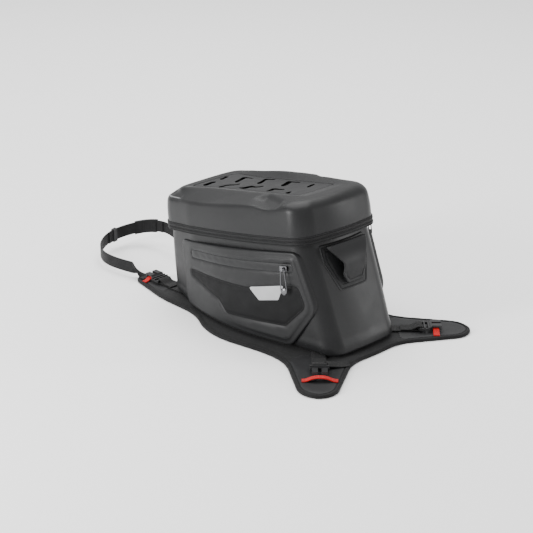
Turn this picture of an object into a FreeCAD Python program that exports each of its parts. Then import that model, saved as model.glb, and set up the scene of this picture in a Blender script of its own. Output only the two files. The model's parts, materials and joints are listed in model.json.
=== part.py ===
import FreeCAD, Part
import math
import os

# Motorcycle tank bag on a four-wing harness. Millimetres, +Z up, +Y towards the front of the
# bike, +X to the rider's right. The origin is on the ground under the middle of the footprint.
V = FreeCAD.Vector
UP = V(0, 0, 1)

# ---- driving dimensions ---------------------------------------------------------------------
GRIP_TOP = 1.0            # anti-slip lining under the harness
PAD_TOP = 4.4             # top face of the harness pad
BINDING_WIDTH = 5.0       # tape that wraps the harness edge
BINDING_THICK = 1.0
BINDING_UNDERSIDE = 0.1
BINDING_TOP = 5.0
WING_PANEL_TOP = 5.2      # lighter panel stitched on each wing
BAG_BASE = 7.4            # underside of the bag shell
WALL = 3.0                # moulded shell wall
LINING = 1.0
LINER_GAP = 0.3           # between a lining and the wall outside it
ZIP_HEIGHT = 132.0        # height of the lid zip above the origin
ZIP_TILT = 9.1            # the zip plane drops towards the front, degrees
BAND = 6.0                # height of each half of the zip band
BAND_DEPTH = 5.5          # the upper half reaches this far inwards
ZIP_GAP = 0.3             # half of the gap between the two halves
LID_SIDE = 45.0           # upright part of the lid, above the zip plane
LID_CREST = 58.0          # crest of the lid, above the zip plane
LID_FOOT_IN = 1.5         # the lid's foot and side height lie this far inside the band
LID_SIDE_IN = 5.0
CREST_SHARE = 0.6         # the crest moves in by this share of a wall's thickness
RECESS_FLOOR = 49.5
RECESS_IN = 5.0           # width of the crest round the recess
PANEL_GAP = 0.4           # round the panel in its recess
BACKING_THICK = 1.0
PANEL_UNDERSIDE = 50.7
PANEL_TOP = 53.5
NET_HEM = 1.4             # hem that holds the net off the lid lining
NET_THICK = 0.8
NET_IN = 3.4              # edge of the net, inside the crest line
NET_HEM_WIDTH = 6.0
HOLLOW_SIDE = 2.5         # the hollow of the lid starts its bevel this far below the outside
FIT = 0.4                 # gap between pieces that move past each other
WEBBING = 20.0            # webbing width
WEBBING_THICK = 1.6
POCKET_SKIN = 0.8         # thickness of each layer sewn on the pocket
LOFT_REACH = 12.0         # the wall surfaces run this far past the zip plane before they are cut
HINGE_Y = 108.6           # lid hinge line, in the zip plane, just ahead of the band
HINGE_WELT = 2.6          # radius of the welt in which the lid folds
HINGE_HALF = 44.0
UNDERSIDE_PAD_IN = 26.0   # the foam under the base stops this far inside its outline
BOARD_GAP = 0.1           # around and under the stiffener board
BOARD_THICK = 2.0
LINER_LIFT = 2.4          # the lining hangs this far above the shell floor, over the board
LINER_RIM = 12.0          # its top edge, below the zip plane
FRAME_THICK = 3.3         # stiffening frame inside the rim
FRAME_DEPTH = 11.4
SIDES = (("left", -1), ("right", 1))
BEYOND = 450.0            # far enough to cut past everything

# Half outlines, rear to front, as (x, y, corner radius). The other half mirrors them.
HARNESS = [
    (0, -270, 400), (48, -268, 70), (133, -320, 30), (157, -310, 21), (167, -283, 32),
    (108, -198, 85), (110, -150, 150), (124, -56, 130), (88, 8, 110), (84, 90, 200),
    (64, 178, 19), (25, 178, 19), (27, 112, 12),
]
BODY_BASE = [(0, -258, 600), (65, -255, 26), (79, -130, 420), (79, 12, 150), (51, 97, 32), (0, 101, 300)]
BODY_TOP = [(0, -199, 250), (71, -188, 28), (84, -86, 600), (77, 24, 150), (66, 93, 32), (0, 98, 500)]
POCKET_BASE = [(0, -258, 600), (66, -262, 24), (103, -66, 330), (76, 40, 130), (51, 97, 32), (0, 101, 300)]
POCKET_TOP = [(0, -199, 600), (75, -196, 24), (93, -84, 420), (80, 26, 150), (66, 93, 32), (0, 98, 500)]
BAND_LINE = [(0, -212, 250), (77, -202, 34), (91, -90, 900), (84, 24, 150), (72, 100, 36), (0, 105, 600)]
LID_CREST_LINE = [(0, -163, 200), (40, -158, 9), (37, -84, 500), (40, 4, 300), (53, 62, 12), (0, 68, 300)]

# Finger scoop in each side bevel of the lid: a cylinder that starts at (x, y, z) in the zip plane.
SCOOP_START = (88, -142, 68)
SCOOP_RADIUS = 26
SCOOP_LENGTH = 46
SCOOP_SLANT = 0.16        # across, for each unit along

# Side-view outlines on the pocket as (y, z, corner radius).
POCKET_EDGE = [(-186, 147, 14), (-221, 70, 26), (-182, 9, 20), (40, 9, 18), (54, 105, 12)]
POCKET_ZIP = [(-181, 118, 4.4), (-181, 129, 4.4), (22, 97, 4.4), (22, 86, 4.4)]
POCKET_INSET = [
    (24, 58, 4), (24, 68, 4), (-104, 79, 20), (-190, 101, 10), (-205, 72, 12), (-173, 37, 8),
    (-66, 28, 10), (-48, 44, 10),
]
REFLECTOR = [(-109, 80, 2), (-168, 96, 2), (-160, 73, 2), (-128, 65, 2)]
POCKET_ZIP_STOPS = [(-169, 121.6), (-80, 107.8), (8, 93.7)]

# Slots across the lid panel as (x of the middle, y, length), mirrored to the other side.
LID_SLOTS = [(20, 53, 24), (19, 13, 24), (19, -31, 23), (18, -80, 22), (19, -128, 22)]
SLOT_WIDTH = 6.6
SLOT_CORNER = 3.2

# Side view of the grab handle: (height, distance of its inner face from the rear wall).
HANDLE_LINE = [
    (151.0, 3.6), (146.0, 6.0), (137.0, 13.0), (122.0, 14.0), (110.0, 11.0), (103.0, 5.0), (92.0, 3.5),
]
HANDLE_THICK = 2.6
HANDLE_LEAN = 0.8         # its outer face sits this much lower than the inner one
HANDLE_HALF = 50.0
# Rear-view outlines as (x, z, corner radius).
HANDLE_EDGE = [
    (-38, 160, 4), (-38, 146, 8), (-21, 121, 10), (-24, 112, 5), (-15, 92, 4),
    (15, 92, 4), (24, 112, 5), (21, 121, 10), (38, 146, 8), (38, 160, 4),
]
PATCH_EDGE = [(-44, 152, 3), (-44, 128, 8), (-27, 88, 5), (27, 88, 5), (44, 128, 8), (44, 152, 3)]
PATCH_TOP = 1.8           # the patch stands this far off the rear wall

# Hooks: (name, x, y of the red loop, outward direction in degrees, gap to the loop, loop length)
HOOKS = [
    ("front_left", -46.0, 151.0, 90.0, 0.0, 40.0),
    ("front_right", 46.0, 151.0, 90.0, 0.0, 40.0),
    ("rear_left", -124.0, -280.0, 225.0, 14.0, 48.0),
    ("rear_right", 116.0, -277.0, 315.0, 0.0, 48.0),
]
LOOP_WIDTH = 9.0
LOOP_THICK = 2.0
LOOP_RISE = 5.2           # clear height under the loop
LOOP_BASE = 5.3           # underside of its sewn ends
LOOP_FOOT = 0.375         # where the arch leaves the wing and flattens, as shares of its length
LOOP_TOP = 0.275
PIVOT = -22.0             # bar that the webbing turns round, inwards of the loop
PIVOT_HEIGHT = 10.2
PIVOT_RADIUS = 2.0
HOOK_HALF = 13.0
HOOK_THICK = 3.4
TAB_FLAT = 6.2            # middle of the webbing where it lies on the wing
TAIL_START = (-84.0, -258.0)
TAIL_ANGLE = -28.0
TAIL_RISE = 9.6           # the loose end comes off the webbing under it at this height
TAIL_LENGTH = 36.0
TAB_LENGTH = 50.0
TAB_SLOPE = 10.0          # length over which the tab rises to the hook
TAB_GAP = 3.7             # from the pivot to the end of the tab
HOOK_PLATE = 13.0         # slotted plate of the hook, from the pivot outwards
HOOK_SLOTS = (2.0, 7.5)   # inner edge of each webbing slot, out from the pivot
HOOK_SLOT = 3.1
HOOK_SLOT_PLAY = 0.6      # the slots are this much longer than the webbing at each end
HOOK_RIBS = (5.0, 11.0)   # inner edge of each rib on the plate, out from the pivot
HOOK_RIB = 2.0
HOOK_RIB_RISE = 1.6
LOOP_PLAY = 0.7           # gap between the prongs and the loop
PRONG_START = -5.8        # inner end of the prongs, from the middle of the loop
PRONG_LENGTH = 13.6
PRONG_WIDTH = 8.0
PRONG_THICK = 2.6
PRONG_EDGE = 2.5          # from the side of the hook
PRONG_TIP = 2.4
PRONG_DROP = 4.8

# Front strap: line of the middle of the webbing, which stands on edge, as (x, y, z).
STRAP_HEIGHT = 19.0
STRAP_LINE = [
    (-56, 192, 15.5), (-61, 225, 15.5), (-59, 259, 16), (-46, 285, 17.5), (-24, 304, 20), (2, 313.4, 23),
    (26, 312.4, 25.5), (46, 300, 30), (58, 274, 36), (60, 240, 38), (58, 212, 30), (56, 192, 15.5),
]
STRAP_END = (52, 168)     # the webbing lies flat on the wing here
STRAP_END_CLEAR = 5.6     # underside of the webbing over the wing panel
STRAP_END_FLAT = 9.0      # length that lies flat
STRAP_LAYER_GAP = 0.2     # between the two layers of the doubled part
STRAP_END_GAP = 0.4       # from each twisted end to the standing strap it is sewn to
TAIL_SHARE = (0.44, 0.79)       # doubled part of the strap, as shares of its length
SLEEVE_SHARE = (0.61, 0.744)
KEEPER_SHARE = (0.475, 0.50)
SLEEVE_SIZE = (5.8, 21.4)       # outer thickness and height
KEEPER_SIZE = (6.0, 21.6)

# Sliders and pullers of the zips.
SLIDER_OUT = 5.2          # pivot of a puller, out from the zip
SLIDER_RISE = 3.0         # body of a slider
LID_SLIDER = (13.0, 8.4)  # length and height
POCKET_SLIDER = (11.0, 7.6)
BOW_WIDTH = 2.4           # bow over the slider, which holds the puller
BOW_LOW = 2.6
BOW_DEPTH = 4.4
BOW_SHARE = 0.7           # its length as a share of the slider's height
BOW_WALL = 1.3
PULLER_WIRE = 1.8
LID_PULLER = (3.6, 4.4, 30.0)    # half widths at the top and foot, and length
POCKET_PULLER = (3.4, 6.2, 37.0)

# Rear and front parts of the harness that carry wing panels: (rear or front limit, limit nearer
# the bag, inner limit across)
REAR_WING = (-400, -205, 60)
FRONT_WING = (106, 300, 22)
WING_MARGIN = 1.5         # between a wing panel and the binding
WING_BAG_GAP = 7.0        # between a wing panel and the bag


# ---- outline helpers ------------------------------------------------------------------------
def mirror_half(half):
    """Close a half outline that starts and ends on the centre line."""
    left = [(-x, y, r) for x, y, r in reversed(half) if x > 0]
    return half + left


def corner_arc(before, corner, after):
    """Start, middle, end and centre of the tangent arc at one corner of a polygon."""
    p = V(corner[0], corner[1], 0)
    to_before = (V(before[0], before[1], 0) - p).normalize()
    to_after = (V(after[0], after[1], 0) - p).normalize()
    half_angle = to_before.getAngle(to_after) / 2
    reach = corner[2] / math.tan(half_angle)
    bisector = (to_before + to_after).normalize()
    centre = p + bisector * (corner[2] / math.sin(half_angle))
    return p + to_before * reach, centre - bisector * corner[2], p + to_after * reach, centre


def rounded_wire(corners, z=0.0):
    """Closed wire of straight edges and tangent arcs, flat at height z."""
    count = len(corners)
    arcs = [corner_arc(corners[i - 1], corners[i], corners[(i + 1) % count]) for i in range(count)]
    edges = []
    for i, (start, middle, end, _) in enumerate(arcs):
        edges.append(Part.Arc(start, middle, end).toShape())
        following = arcs[(i + 1) % count][0]
        edges.append(Part.makeLine(end, following))
    wire = Part.Wire(edges)
    wire.translate(V(0, 0, z))
    return wire


def offset_corners(corners, distance):
    """Move an anticlockwise outline outwards by a distance, keeping its arcs concentric."""
    count = len(corners)
    moved = []
    for i in range(count):
        a, b, c = (corners[(i + k) % count] for k in (-1, 0, 1))
        d1 = V(b[0] - a[0], b[1] - a[1], 0).normalize()
        d2 = V(c[0] - b[0], c[1] - b[1], 0).normalize()
        n1 = V(d1.y, -d1.x, 0)
        n2 = V(d2.y, -d2.x, 0)
        turn = d1.cross(d2).z
        shift = (n1 + n2) * (distance / (1 + n1.dot(n2)))
        radius = b[2] + distance if turn > 0 else b[2] - distance
        moved.append((b[0] + shift.x, b[1] + shift.y, max(radius, 0.5)))
    return moved


def plate(corners, z0, z1):
    return Part.Face(rounded_wire(corners, z0)).extrude(V(0, 0, z1 - z0))


def ring(outer, inner, z0, z1):
    return plate(outer, z0, z1).cut(plate(inner, z0 - 1, z1 + 1))


# ---- the tilted frame of the lid ------------------------------------------------------------
def to_zip_plane(shape):
    """Take a shape drawn level on z = 0 up to the tilted zip plane."""
    placed = shape.copy()
    placed.rotate(V(0, 0, 0), V(1, 0, 0), -ZIP_TILT)
    placed.translate(V(0, 0, ZIP_HEIGHT))
    return placed


def above_zip_plane(z):
    """Everything more than z above the zip plane."""
    return to_zip_plane(Part.makeBox(2 * BEYOND, 2 * BEYOND, BEYOND, V(-BEYOND, -BEYOND, z)))


def level_slice(z0, z1):
    """Everything between two heights."""
    return Part.makeBox(2 * BEYOND, 2 * BEYOND, z1 - z0, V(-BEYOND, -BEYOND, z0))


def wall_volume(base, top, outwards, floor, ceiling):
    """Solid inside the body walls, from a level floor to a plane parallel to the zip."""
    low = rounded_wire(offset_corners(mirror_half(base), outwards))
    high = to_zip_plane(rounded_wire(offset_corners(mirror_half(top), outwards), LOFT_REACH))
    solid = Part.makeLoft([low, high], True, True)
    solid = solid.cut(level_slice(-BEYOND, floor))
    return solid.cut(above_zip_plane(ceiling))


def body_volume(outwards, floor, ceiling):
    return wall_volume(BODY_BASE, BODY_TOP, outwards, floor, ceiling)


def pocket_volume(outwards):
    return wall_volume(POCKET_BASE, POCKET_TOP, outwards, 0, -BAND - 2)


def side_prism(outline, side):
    """Extrude a side-view outline outwards through one side wall; side is -1 or 1."""
    prism = Part.Face(rounded_wire(outline)).extrude(V(0, 0, BEYOND))
    # (y, z, outwards) becomes the row's (x, y, z)
    turned = FreeCAD.Matrix(0, 0, side, 0, 1, 0, 0, 0, 0, 1, 0, 0, 0, 0, 0, 1)
    return prism.transformGeometry(turned)


parts = {}


# ---- harness --------------------------------------------------------------------------------
def build_harness():
    outline = mirror_half(HARNESS)
    inside = offset_corners(outline, -BINDING_WIDTH)
    padded = offset_corners(outline, -BINDING_THICK)
    parts["harness_pad"] = plate(padded, GRIP_TOP, PAD_TOP)
    parts["grip_lining"] = plate(inside, 0.0, GRIP_TOP)
    wrap = ring(outline, inside, BINDING_UNDERSIDE, BINDING_TOP)
    parts["harness_binding"] = wrap.cut(plate(padded, GRIP_TOP, PAD_TOP))
    foam_edge = offset_corners(mirror_half(BODY_BASE), -UNDERSIDE_PAD_IN)
    parts["underside_pad"] = plate(foam_edge, PAD_TOP, BAG_BASE)

    # Wing panels: the parts of the outline towards its corners, clear of the bag.
    top = plate(offset_corners(outline, -BINDING_WIDTH - WING_MARGIN), PAD_TOP, WING_PANEL_TOP)
    bag = plate(offset_corners(mirror_half(BODY_BASE), WING_BAG_GAP), 0, BEYOND)
    for end, (near, far, inner_x) in (("rear_", REAR_WING), ("front_", FRONT_WING)):
        for name, side in SIDES:
            low_x = inner_x if side > 0 else -BEYOND
            window = Part.makeBox(BEYOND - inner_x, far - near, BEYOND, V(low_x, near, 0))
            parts["wing_panel_" + end + name] = top.common(window).cut(bag)


# ---- bag body -------------------------------------------------------------------------------
def build_body():
    outer = body_volume(0, BAG_BASE, -ZIP_GAP)
    inner = body_volume(-WALL, BAG_BASE + WALL, LOFT_REACH)
    parts["bag_shell"] = outer.cut(inner)
    liner_floor = BAG_BASE + WALL + LINER_LIFT
    liner_out = body_volume(-WALL - LINER_GAP, liner_floor, -LINER_RIM)
    liner_in = body_volume(-WALL - LINER_GAP - LINING, liner_floor + LINING, LOFT_REACH)
    parts["inner_lining"] = liner_out.cut(liner_in)
    board_low = BAG_BASE + WALL + BOARD_GAP
    board = body_volume(-WALL - 10 * BOARD_GAP, board_low, -BAND)
    parts["base_board"] = board.common(level_slice(board_low, board_low + BOARD_THICK))
    stiffener_out = body_volume(-WALL - BOARD_GAP, BAG_BASE, -ZIP_GAP)
    stiffener_in = body_volume(-WALL - BOARD_GAP - FRAME_THICK, 0, LOFT_REACH)
    stiffener = stiffener_out.cut(stiffener_in)
    parts["rim_frame"] = stiffener.common(above_zip_plane(-ZIP_GAP - FRAME_DEPTH))

    # Lower half of the zip band stands proud of the wall below it.
    band = to_zip_plane(plate(mirror_half(BAND_LINE), -BAND, -ZIP_GAP))
    parts["zip_band_lower"] = band.cut(body_volume(0, 0, LOFT_REACH))

    # Welt in front of the lid, where the lid folds.
    welt = Part.makeCylinder(HINGE_WELT, 2 * HINGE_HALF, V(-HINGE_HALF, HINGE_Y, 0), V(1, 0, 0))
    parts["hinge_welt"] = to_zip_plane(welt)


# ---- lid ------------------------------------------------------------------------------------
def lid_volume(inwards, floor, side, crest):
    """Upright sides up to the side height, then a broad bevel up to the crest."""
    band = mirror_half(BAND_LINE)
    crest_line = mirror_half(LID_CREST_LINE)
    low = rounded_wire(offset_corners(band, -LID_FOOT_IN - inwards), floor)
    middle = rounded_wire(offset_corners(band, -LID_SIDE_IN - inwards), side)
    high = rounded_wire(offset_corners(crest_line, -inwards * CREST_SHARE), crest)
    return Part.makeLoft([low, middle, high], True, True)


def build_lid():
    band = mirror_half(BAND_LINE)
    crest_line = mirror_half(LID_CREST_LINE)
    ceiling = RECESS_FLOOR - WALL
    shell = lid_volume(0, BAND, LID_SIDE, LID_CREST)
    hollow = lid_volume(WALL, BAND - 1, LID_SIDE - HOLLOW_SIDE, ceiling)
    recess = plate(offset_corners(crest_line, -RECESS_IN), RECESS_FLOOR, LID_CREST + WALL)
    shell = shell.cut(hollow).cut(recess)
    # Finger scoop in each side bevel, towards the rear.
    for side in (-1, 1):
        start = V(side * SCOOP_START[0], SCOOP_START[1], SCOOP_START[2])
        scoop = Part.makeCylinder(SCOOP_RADIUS, SCOOP_LENGTH, start, V(-side * SCOOP_SLANT, 1, 0))
        shell = shell.cut(scoop)
    parts["lid_shell"] = to_zip_plane(shell)

    upper = ring(band, offset_corners(band, -BAND_DEPTH), ZIP_GAP, BAND)
    parts["zip_band_upper"] = to_zip_plane(upper)

    panel_edge = offset_corners(crest_line, -RECESS_IN - PANEL_GAP)
    backing = plate(panel_edge, RECESS_FLOOR, RECESS_FLOOR + BACKING_THICK)
    parts["lid_panel_backing"] = to_zip_plane(backing)
    panel = plate(panel_edge, PANEL_UNDERSIDE, PANEL_TOP)
    for x, y, length in LID_SLOTS:
        for _, side in SIDES:
            west = side * x - length / 2
            east = side * x + length / 2
            south = y - SLOT_WIDTH / 2
            north = y + SLOT_WIDTH / 2
            corners = [(west, south), (east, south), (east, north), (west, north)]
            slot = [(a, b, SLOT_CORNER) for a, b in corners]
            panel = panel.cut(plate(slot, RECESS_FLOOR, LID_CREST))
    parts["lid_slot_panel"] = to_zip_plane(panel)

    lining_side = LID_SIDE - HOLLOW_SIDE - LINER_GAP
    ceiling -= PANEL_GAP
    lining_out = lid_volume(WALL + LINER_GAP, BAND + 1, lining_side, ceiling)
    ceiling -= LINING
    lining_in = lid_volume(WALL + LINER_GAP + LINING, BAND, lining_side - LINING, ceiling)
    parts["lid_lining"] = to_zip_plane(lining_out.cut(lining_in))

    net_edge = offset_corners(crest_line, -NET_IN)
    hem_inside = offset_corners(crest_line, -NET_IN - NET_HEM_WIDTH)
    parts["lid_net_hem"] = to_zip_plane(ring(net_edge, hem_inside, ceiling - NET_HEM, ceiling))
    net = plate(net_edge, ceiling - NET_HEM - NET_THICK, ceiling - NET_HEM)
    parts["lid_net_pocket"] = to_zip_plane(net)


# ---- side pockets ---------------------------------------------------------------------------
def build_pockets():
    body = body_volume(0.2, 0, LOFT_REACH)
    cover = pocket_volume(0).cut(body)
    skin_1 = pocket_volume(POCKET_SKIN).cut(pocket_volume(0))
    skin_2 = pocket_volume(2 * POCKET_SKIN).cut(pocket_volume(POCKET_SKIN))
    base_cut = level_slice(-BEYOND, BAG_BASE)
    for name, side in SIDES:
        block = cover.common(side_prism(POCKET_EDGE, side)).cut(base_cut)
        parts["pocket_" + name] = largest(block)
        parts["pocket_zip_" + name] = largest(skin_1.common(side_prism(POCKET_ZIP, side)))
        parts["pocket_inset_" + name] = largest(skin_1.common(side_prism(POCKET_INSET, side)))
        parts["reflector_" + name] = largest(skin_2.common(side_prism(REFLECTOR, side)))


def largest(shape):
    return max(shape.Solids, key=lambda solid: solid.Volume)


# ---- rear grab handle -----------------------------------------------------------------------
def wall_line(z, outwards):
    """Y of the rear wall at height z on the centre line."""
    rear_low = BODY_BASE[0][1]
    tilt = math.radians(ZIP_TILT)
    top_y = BODY_TOP[0][1] * math.cos(tilt) + LOFT_REACH * math.sin(tilt)
    top_z = ZIP_HEIGHT - BODY_TOP[0][1] * math.sin(tilt) + LOFT_REACH * math.cos(tilt)
    return rear_low + (top_y - rear_low) * z / top_z - outwards


def rear_prism(outline):
    """Extrude a rear-view outline (x, z, radius) through the rear wall."""
    prism = Part.Face(rounded_wire(outline)).extrude(V(0, 0, BEYOND))
    turned = FreeCAD.Matrix(1, 0, 0, 0, 0, 0, -1, 0, 0, 1, 0, 0, 0, 0, 0, 1)
    return prism.transformGeometry(turned)


def build_handle():
    patch = body_volume(PATCH_TOP, 0, -BAND - 1).cut(body_volume(0.2, 0, LOFT_REACH))
    parts["handle_patch"] = largest(patch.common(rear_prism(PATCH_EDGE)))

    # The handle leaves the wall at the top, stands off by a finger's width and lands below.
    thickness = V(0, -HANDLE_THICK, -HANDLE_LEAN)
    points = [V(0, wall_line(z, stand), z) for z, stand in HANDLE_LINE]
    inside = Part.BSplineCurve()
    inside.interpolate(points)
    outside = Part.BSplineCurve()
    outside.interpolate([p + thickness for p in points])
    first = Part.makeLine(points[0], points[0] + thickness)
    last = Part.makeLine(points[-1] + thickness, points[-1])
    profile = Part.Wire([inside.toShape(), last, outside.toShape(), first])
    sheet = Part.Face(profile).extrude(V(2 * HANDLE_HALF, 0, 0))
    sheet.translate(V(-HANDLE_HALF, 0, 0))
    parts["grab_handle"] = largest(sheet.common(rear_prism(HANDLE_EDGE)))


# ---- hooks, red loops and webbing tabs ------------------------------------------------------
def place_out(shape, x, y, degrees):
    """Draw with +X outwards from the bag, then turn to a corner's direction."""
    placed = shape.copy()
    placed.rotate(V(0, 0, 0), UP, degrees)
    placed.translate(V(x, y, 0))
    return placed


def strip(points, thick, half_width):
    """Flat strap bent along (x, z) points, straight across its width."""
    path = [V(x, -half_width, z) for x, z in points]
    solid = None
    for a, b in zip(path[:-1], path[1:]):
        along = (b - a).normalize()
        normal = V(-along.z, 0, along.x) * (thick / 2)
        quad = Part.makePolygon([a - normal, b - normal, b + normal, a + normal, a - normal])
        piece = Part.Face(quad).extrude(V(0, 2 * half_width, 0))
        solid = piece if solid is None else solid.fuse(piece)
    for p in path[1:-1]:
        knuckle = Part.makeCylinder(thick / 2, 2 * half_width, p, V(0, 1, 0))
        solid = solid.fuse(knuckle)
    return solid.removeSplitter()


def red_loop(length):
    """Webbing arch across the hook, both ends stitched flat to the wing."""
    low = LOOP_BASE + LOOP_THICK / 2
    high = low + LOOP_RISE
    foot = length * LOOP_FOOT
    top = length * LOOP_TOP
    points = [(-length / 2, low), (-foot, low), (-top, high), (top, high), (foot, low), (length / 2, low)]
    arch = strip(points, LOOP_THICK, LOOP_WIDTH / 2)
    arch.rotate(V(0, 0, 0), UP, 90)
    return arch


def hook():
    """Plate with two webbing slots at one end and two down-turned prongs at the other."""
    over_loop = LOOP_BASE + LOOP_THICK + LOOP_RISE + LOOP_PLAY
    low = PIVOT_HEIGHT - HOOK_THICK / 2
    top = low + HOOK_THICK
    width = 2 * HOOK_HALF
    body = Part.makeBox(HOOK_PLATE, width, HOOK_THICK, V(PIVOT, -HOOK_HALF, low))
    bar = Part.makeCylinder(PIVOT_RADIUS, width, V(PIVOT, -HOOK_HALF, PIVOT_HEIGHT), V(0, 1, 0))
    body = body.fuse(bar)
    slot_half = WEBBING / 2 + HOOK_SLOT_PLAY
    for out in HOOK_SLOTS:
        start = V(PIVOT + out, -slot_half, low - 1)
        body = body.cut(Part.makeBox(HOOK_SLOT, 2 * slot_half, HOOK_THICK + 2, start))
    for out in HOOK_RIBS:
        start = V(PIVOT + out, -HOOK_HALF, top)
        body = body.fuse(Part.makeBox(HOOK_RIB, width, HOOK_RIB_RISE, start))
    slope_start = PIVOT + HOOK_PLATE - 1
    slope_end = PRONG_START + 0.2
    side_view = [
        V(slope_start, 0, low), V(slope_end, 0, over_loop), V(slope_end, 0, over_loop + PRONG_THICK),
        V(slope_start, 0, top),
    ]
    slope_half = HOOK_HALF - 1.5
    slope = Part.Face(Part.makePolygon(side_view + [side_view[0]])).extrude(V(0, 2 * slope_half, 0))
    slope.translate(V(0, -slope_half, 0))
    body = body.fuse(slope)
    tip_x = PRONG_START + PRONG_LENGTH - PRONG_TIP
    tip_low = over_loop - PRONG_DROP
    tip_height = PRONG_DROP + PRONG_THICK - FIT
    for y in (-HOOK_HALF + PRONG_EDGE, HOOK_HALF - PRONG_EDGE - PRONG_WIDTH):
        prong = Part.makeBox(PRONG_LENGTH, PRONG_WIDTH, PRONG_THICK, V(PRONG_START, y, over_loop))
        tip = Part.makeBox(PRONG_TIP, PRONG_WIDTH, tip_height, V(tip_x, y, tip_low))
        body = body.fuse(prong).fuse(tip)
    return body.removeSplitter()


def build_hooks():
    for name, x, y, degrees, gap, length in HOOKS:
        parts["red_loop_" + name] = place_out(red_loop(length), x, y, degrees)
        hook_shape = hook()
        hook_shape.translate(V(-gap, 0, 0))
        parts["hook_" + name] = place_out(hook_shape, x, y, degrees)
        end = PIVOT - gap - TAB_GAP
        tab_line = [(end - TAB_LENGTH, TAB_FLAT), (end - TAB_SLOPE, TAB_FLAT), (end, PIVOT_HEIGHT)]
        tab = strip(tab_line, WEBBING_THICK, WEBBING / 2)
        parts["webbing_tab_" + name] = place_out(tab, x, y, degrees)

    # Loose end of the rear left webbing, folded sideways onto the harness.
    tail_line = [(0, TAIL_RISE), (TAB_SLOPE - 1, TAB_FLAT), (TAIL_LENGTH, TAB_FLAT)]
    tail = strip(tail_line, WEBBING_THICK, WEBBING / 2 - 1)
    parts["webbing_tail"] = place_out(tail, *TAIL_START, TAIL_ANGLE)


# ---- front strap ----------------------------------------------------------------------------
def strap_curve():
    curve = Part.BSplineCurve()
    curve.interpolate([V(*p) for p in STRAP_LINE])
    return curve


def strap_solid(start, end, thick, height, outwards=0.0):
    """Webbing standing on edge along a share of the strap line, from 0 to 1."""
    curve = strap_curve()
    first = curve.FirstParameter
    span = curve.LastParameter - first
    a = first + span * start
    b = first + span * end
    spine = Part.Wire([curve.toShape(a, b)])
    point = curve.value(a)
    along = curve.tangent(a)[0]
    across = V(-along.y, along.x, 0).normalize()
    rise = UP * (height / 2)
    near = point + across * (outwards - thick / 2)
    far = point + across * (outwards + thick / 2)
    profile = Part.makePolygon([near - rise, far - rise, far + rise, near + rise, near - rise])
    shell = Part.BRepOffsetAPI.MakePipeShell(spine)
    shell.setBiNormalMode(UP)
    shell.add(profile)
    shell.build()
    shell.makeSolid()
    return shell.shape()


def strap_twist(side):
    """Quarter turn from flat on the wing to standing on edge."""
    x0, y0 = STRAP_END
    x1, y1, z1 = (abs(c) for c in STRAP_LINE[0])
    half_width = STRAP_HEIGHT / 2
    last_clear = z1 - half_width
    sections = []
    steps = 6
    for i in range(-1, steps + 1):
        share = max(i, 0) / steps
        turn = math.radians(90 * share)
        back = STRAP_END_FLAT if i < 0 else 0
        clear = STRAP_END_CLEAR + (last_clear - STRAP_END_CLEAR) * share
        rise = half_width * math.sin(turn) + WEBBING_THICK / 2 * math.cos(turn)
        forward = (y1 - STRAP_END_GAP - y0) * share - back
        middle = V(x0 + (x1 - x0) * share, y0 + forward, clear + rise)
        wide = V(math.cos(turn), 0, math.sin(turn)) * half_width
        thin = V(-math.sin(turn), 0, math.cos(turn)) * (WEBBING_THICK / 2)
        ring_points = [middle - wide - thin, middle + wide - thin, middle + wide + thin, middle - wide + thin]
        ring_points = [V(p.x * side, p.y, p.z) for p in ring_points]
        sections.append(Part.makePolygon(ring_points + [ring_points[0]]))
    return Part.makeLoft(sections, True, True)


def build_strap():
    strap = strap_solid(0, 1, WEBBING_THICK, STRAP_HEIGHT)
    parts["front_strap"] = strap
    parts["strap_end_left"] = strap_twist(-1)
    parts["strap_end_right"] = strap_twist(1)
    tail_in = WEBBING_THICK + STRAP_LAYER_GAP
    parts["strap_tail"] = strap_solid(*TAIL_SHARE, WEBBING_THICK, STRAP_HEIGHT, -tail_in)
    both = strap.fuse(parts["strap_tail"])
    for name, share, size in (
        ("strap_sleeve", SLEEVE_SHARE, SLEEVE_SIZE), ("strap_keeper", KEEPER_SHARE, KEEPER_SIZE),
    ):
        wrap = strap_solid(*share, *size, -tail_in / 2)
        parts[name] = largest(wrap.cut(both))


# ---- zip sliders and pullers ----------------------------------------------------------------
def face_point(solid, y, z, side):
    """Outermost point of a side face on the level line at y, z."""
    line = Part.makeLine(V(0, y, z), V(side * 200, y, z))
    inside = line.common(solid)
    return max((v.Point for v in inside.Vertexes), key=lambda p: abs(p.x))


def track_frame(track, point):
    """Outwards, along and across directions of a curved zip at a point."""
    circle = track.Curve
    outwards = (point - circle.Center).normalize()
    across = V(circle.Axis.x, circle.Axis.y, circle.Axis.z)
    if across.z < 0:
        across = across * -1
    return outwards, across.cross(outwards), across


def place_on_track(shape, track, point):
    """Draw with +X out of the face, +Z across the zip; set it on the face at a point."""
    outwards, along, across = track_frame(track, point)
    matrix = FreeCAD.Matrix(
        outwards.x, along.x, across.x, point.x,
        outwards.y, along.y, across.y, point.y,
        outwards.z, along.z, across.z, point.z,
        0, 0, 0, 1,
    )
    placed = shape.copy()
    placed.Placement = FreeCAD.Placement(matrix).multiply(shape.Placement)
    return placed


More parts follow.
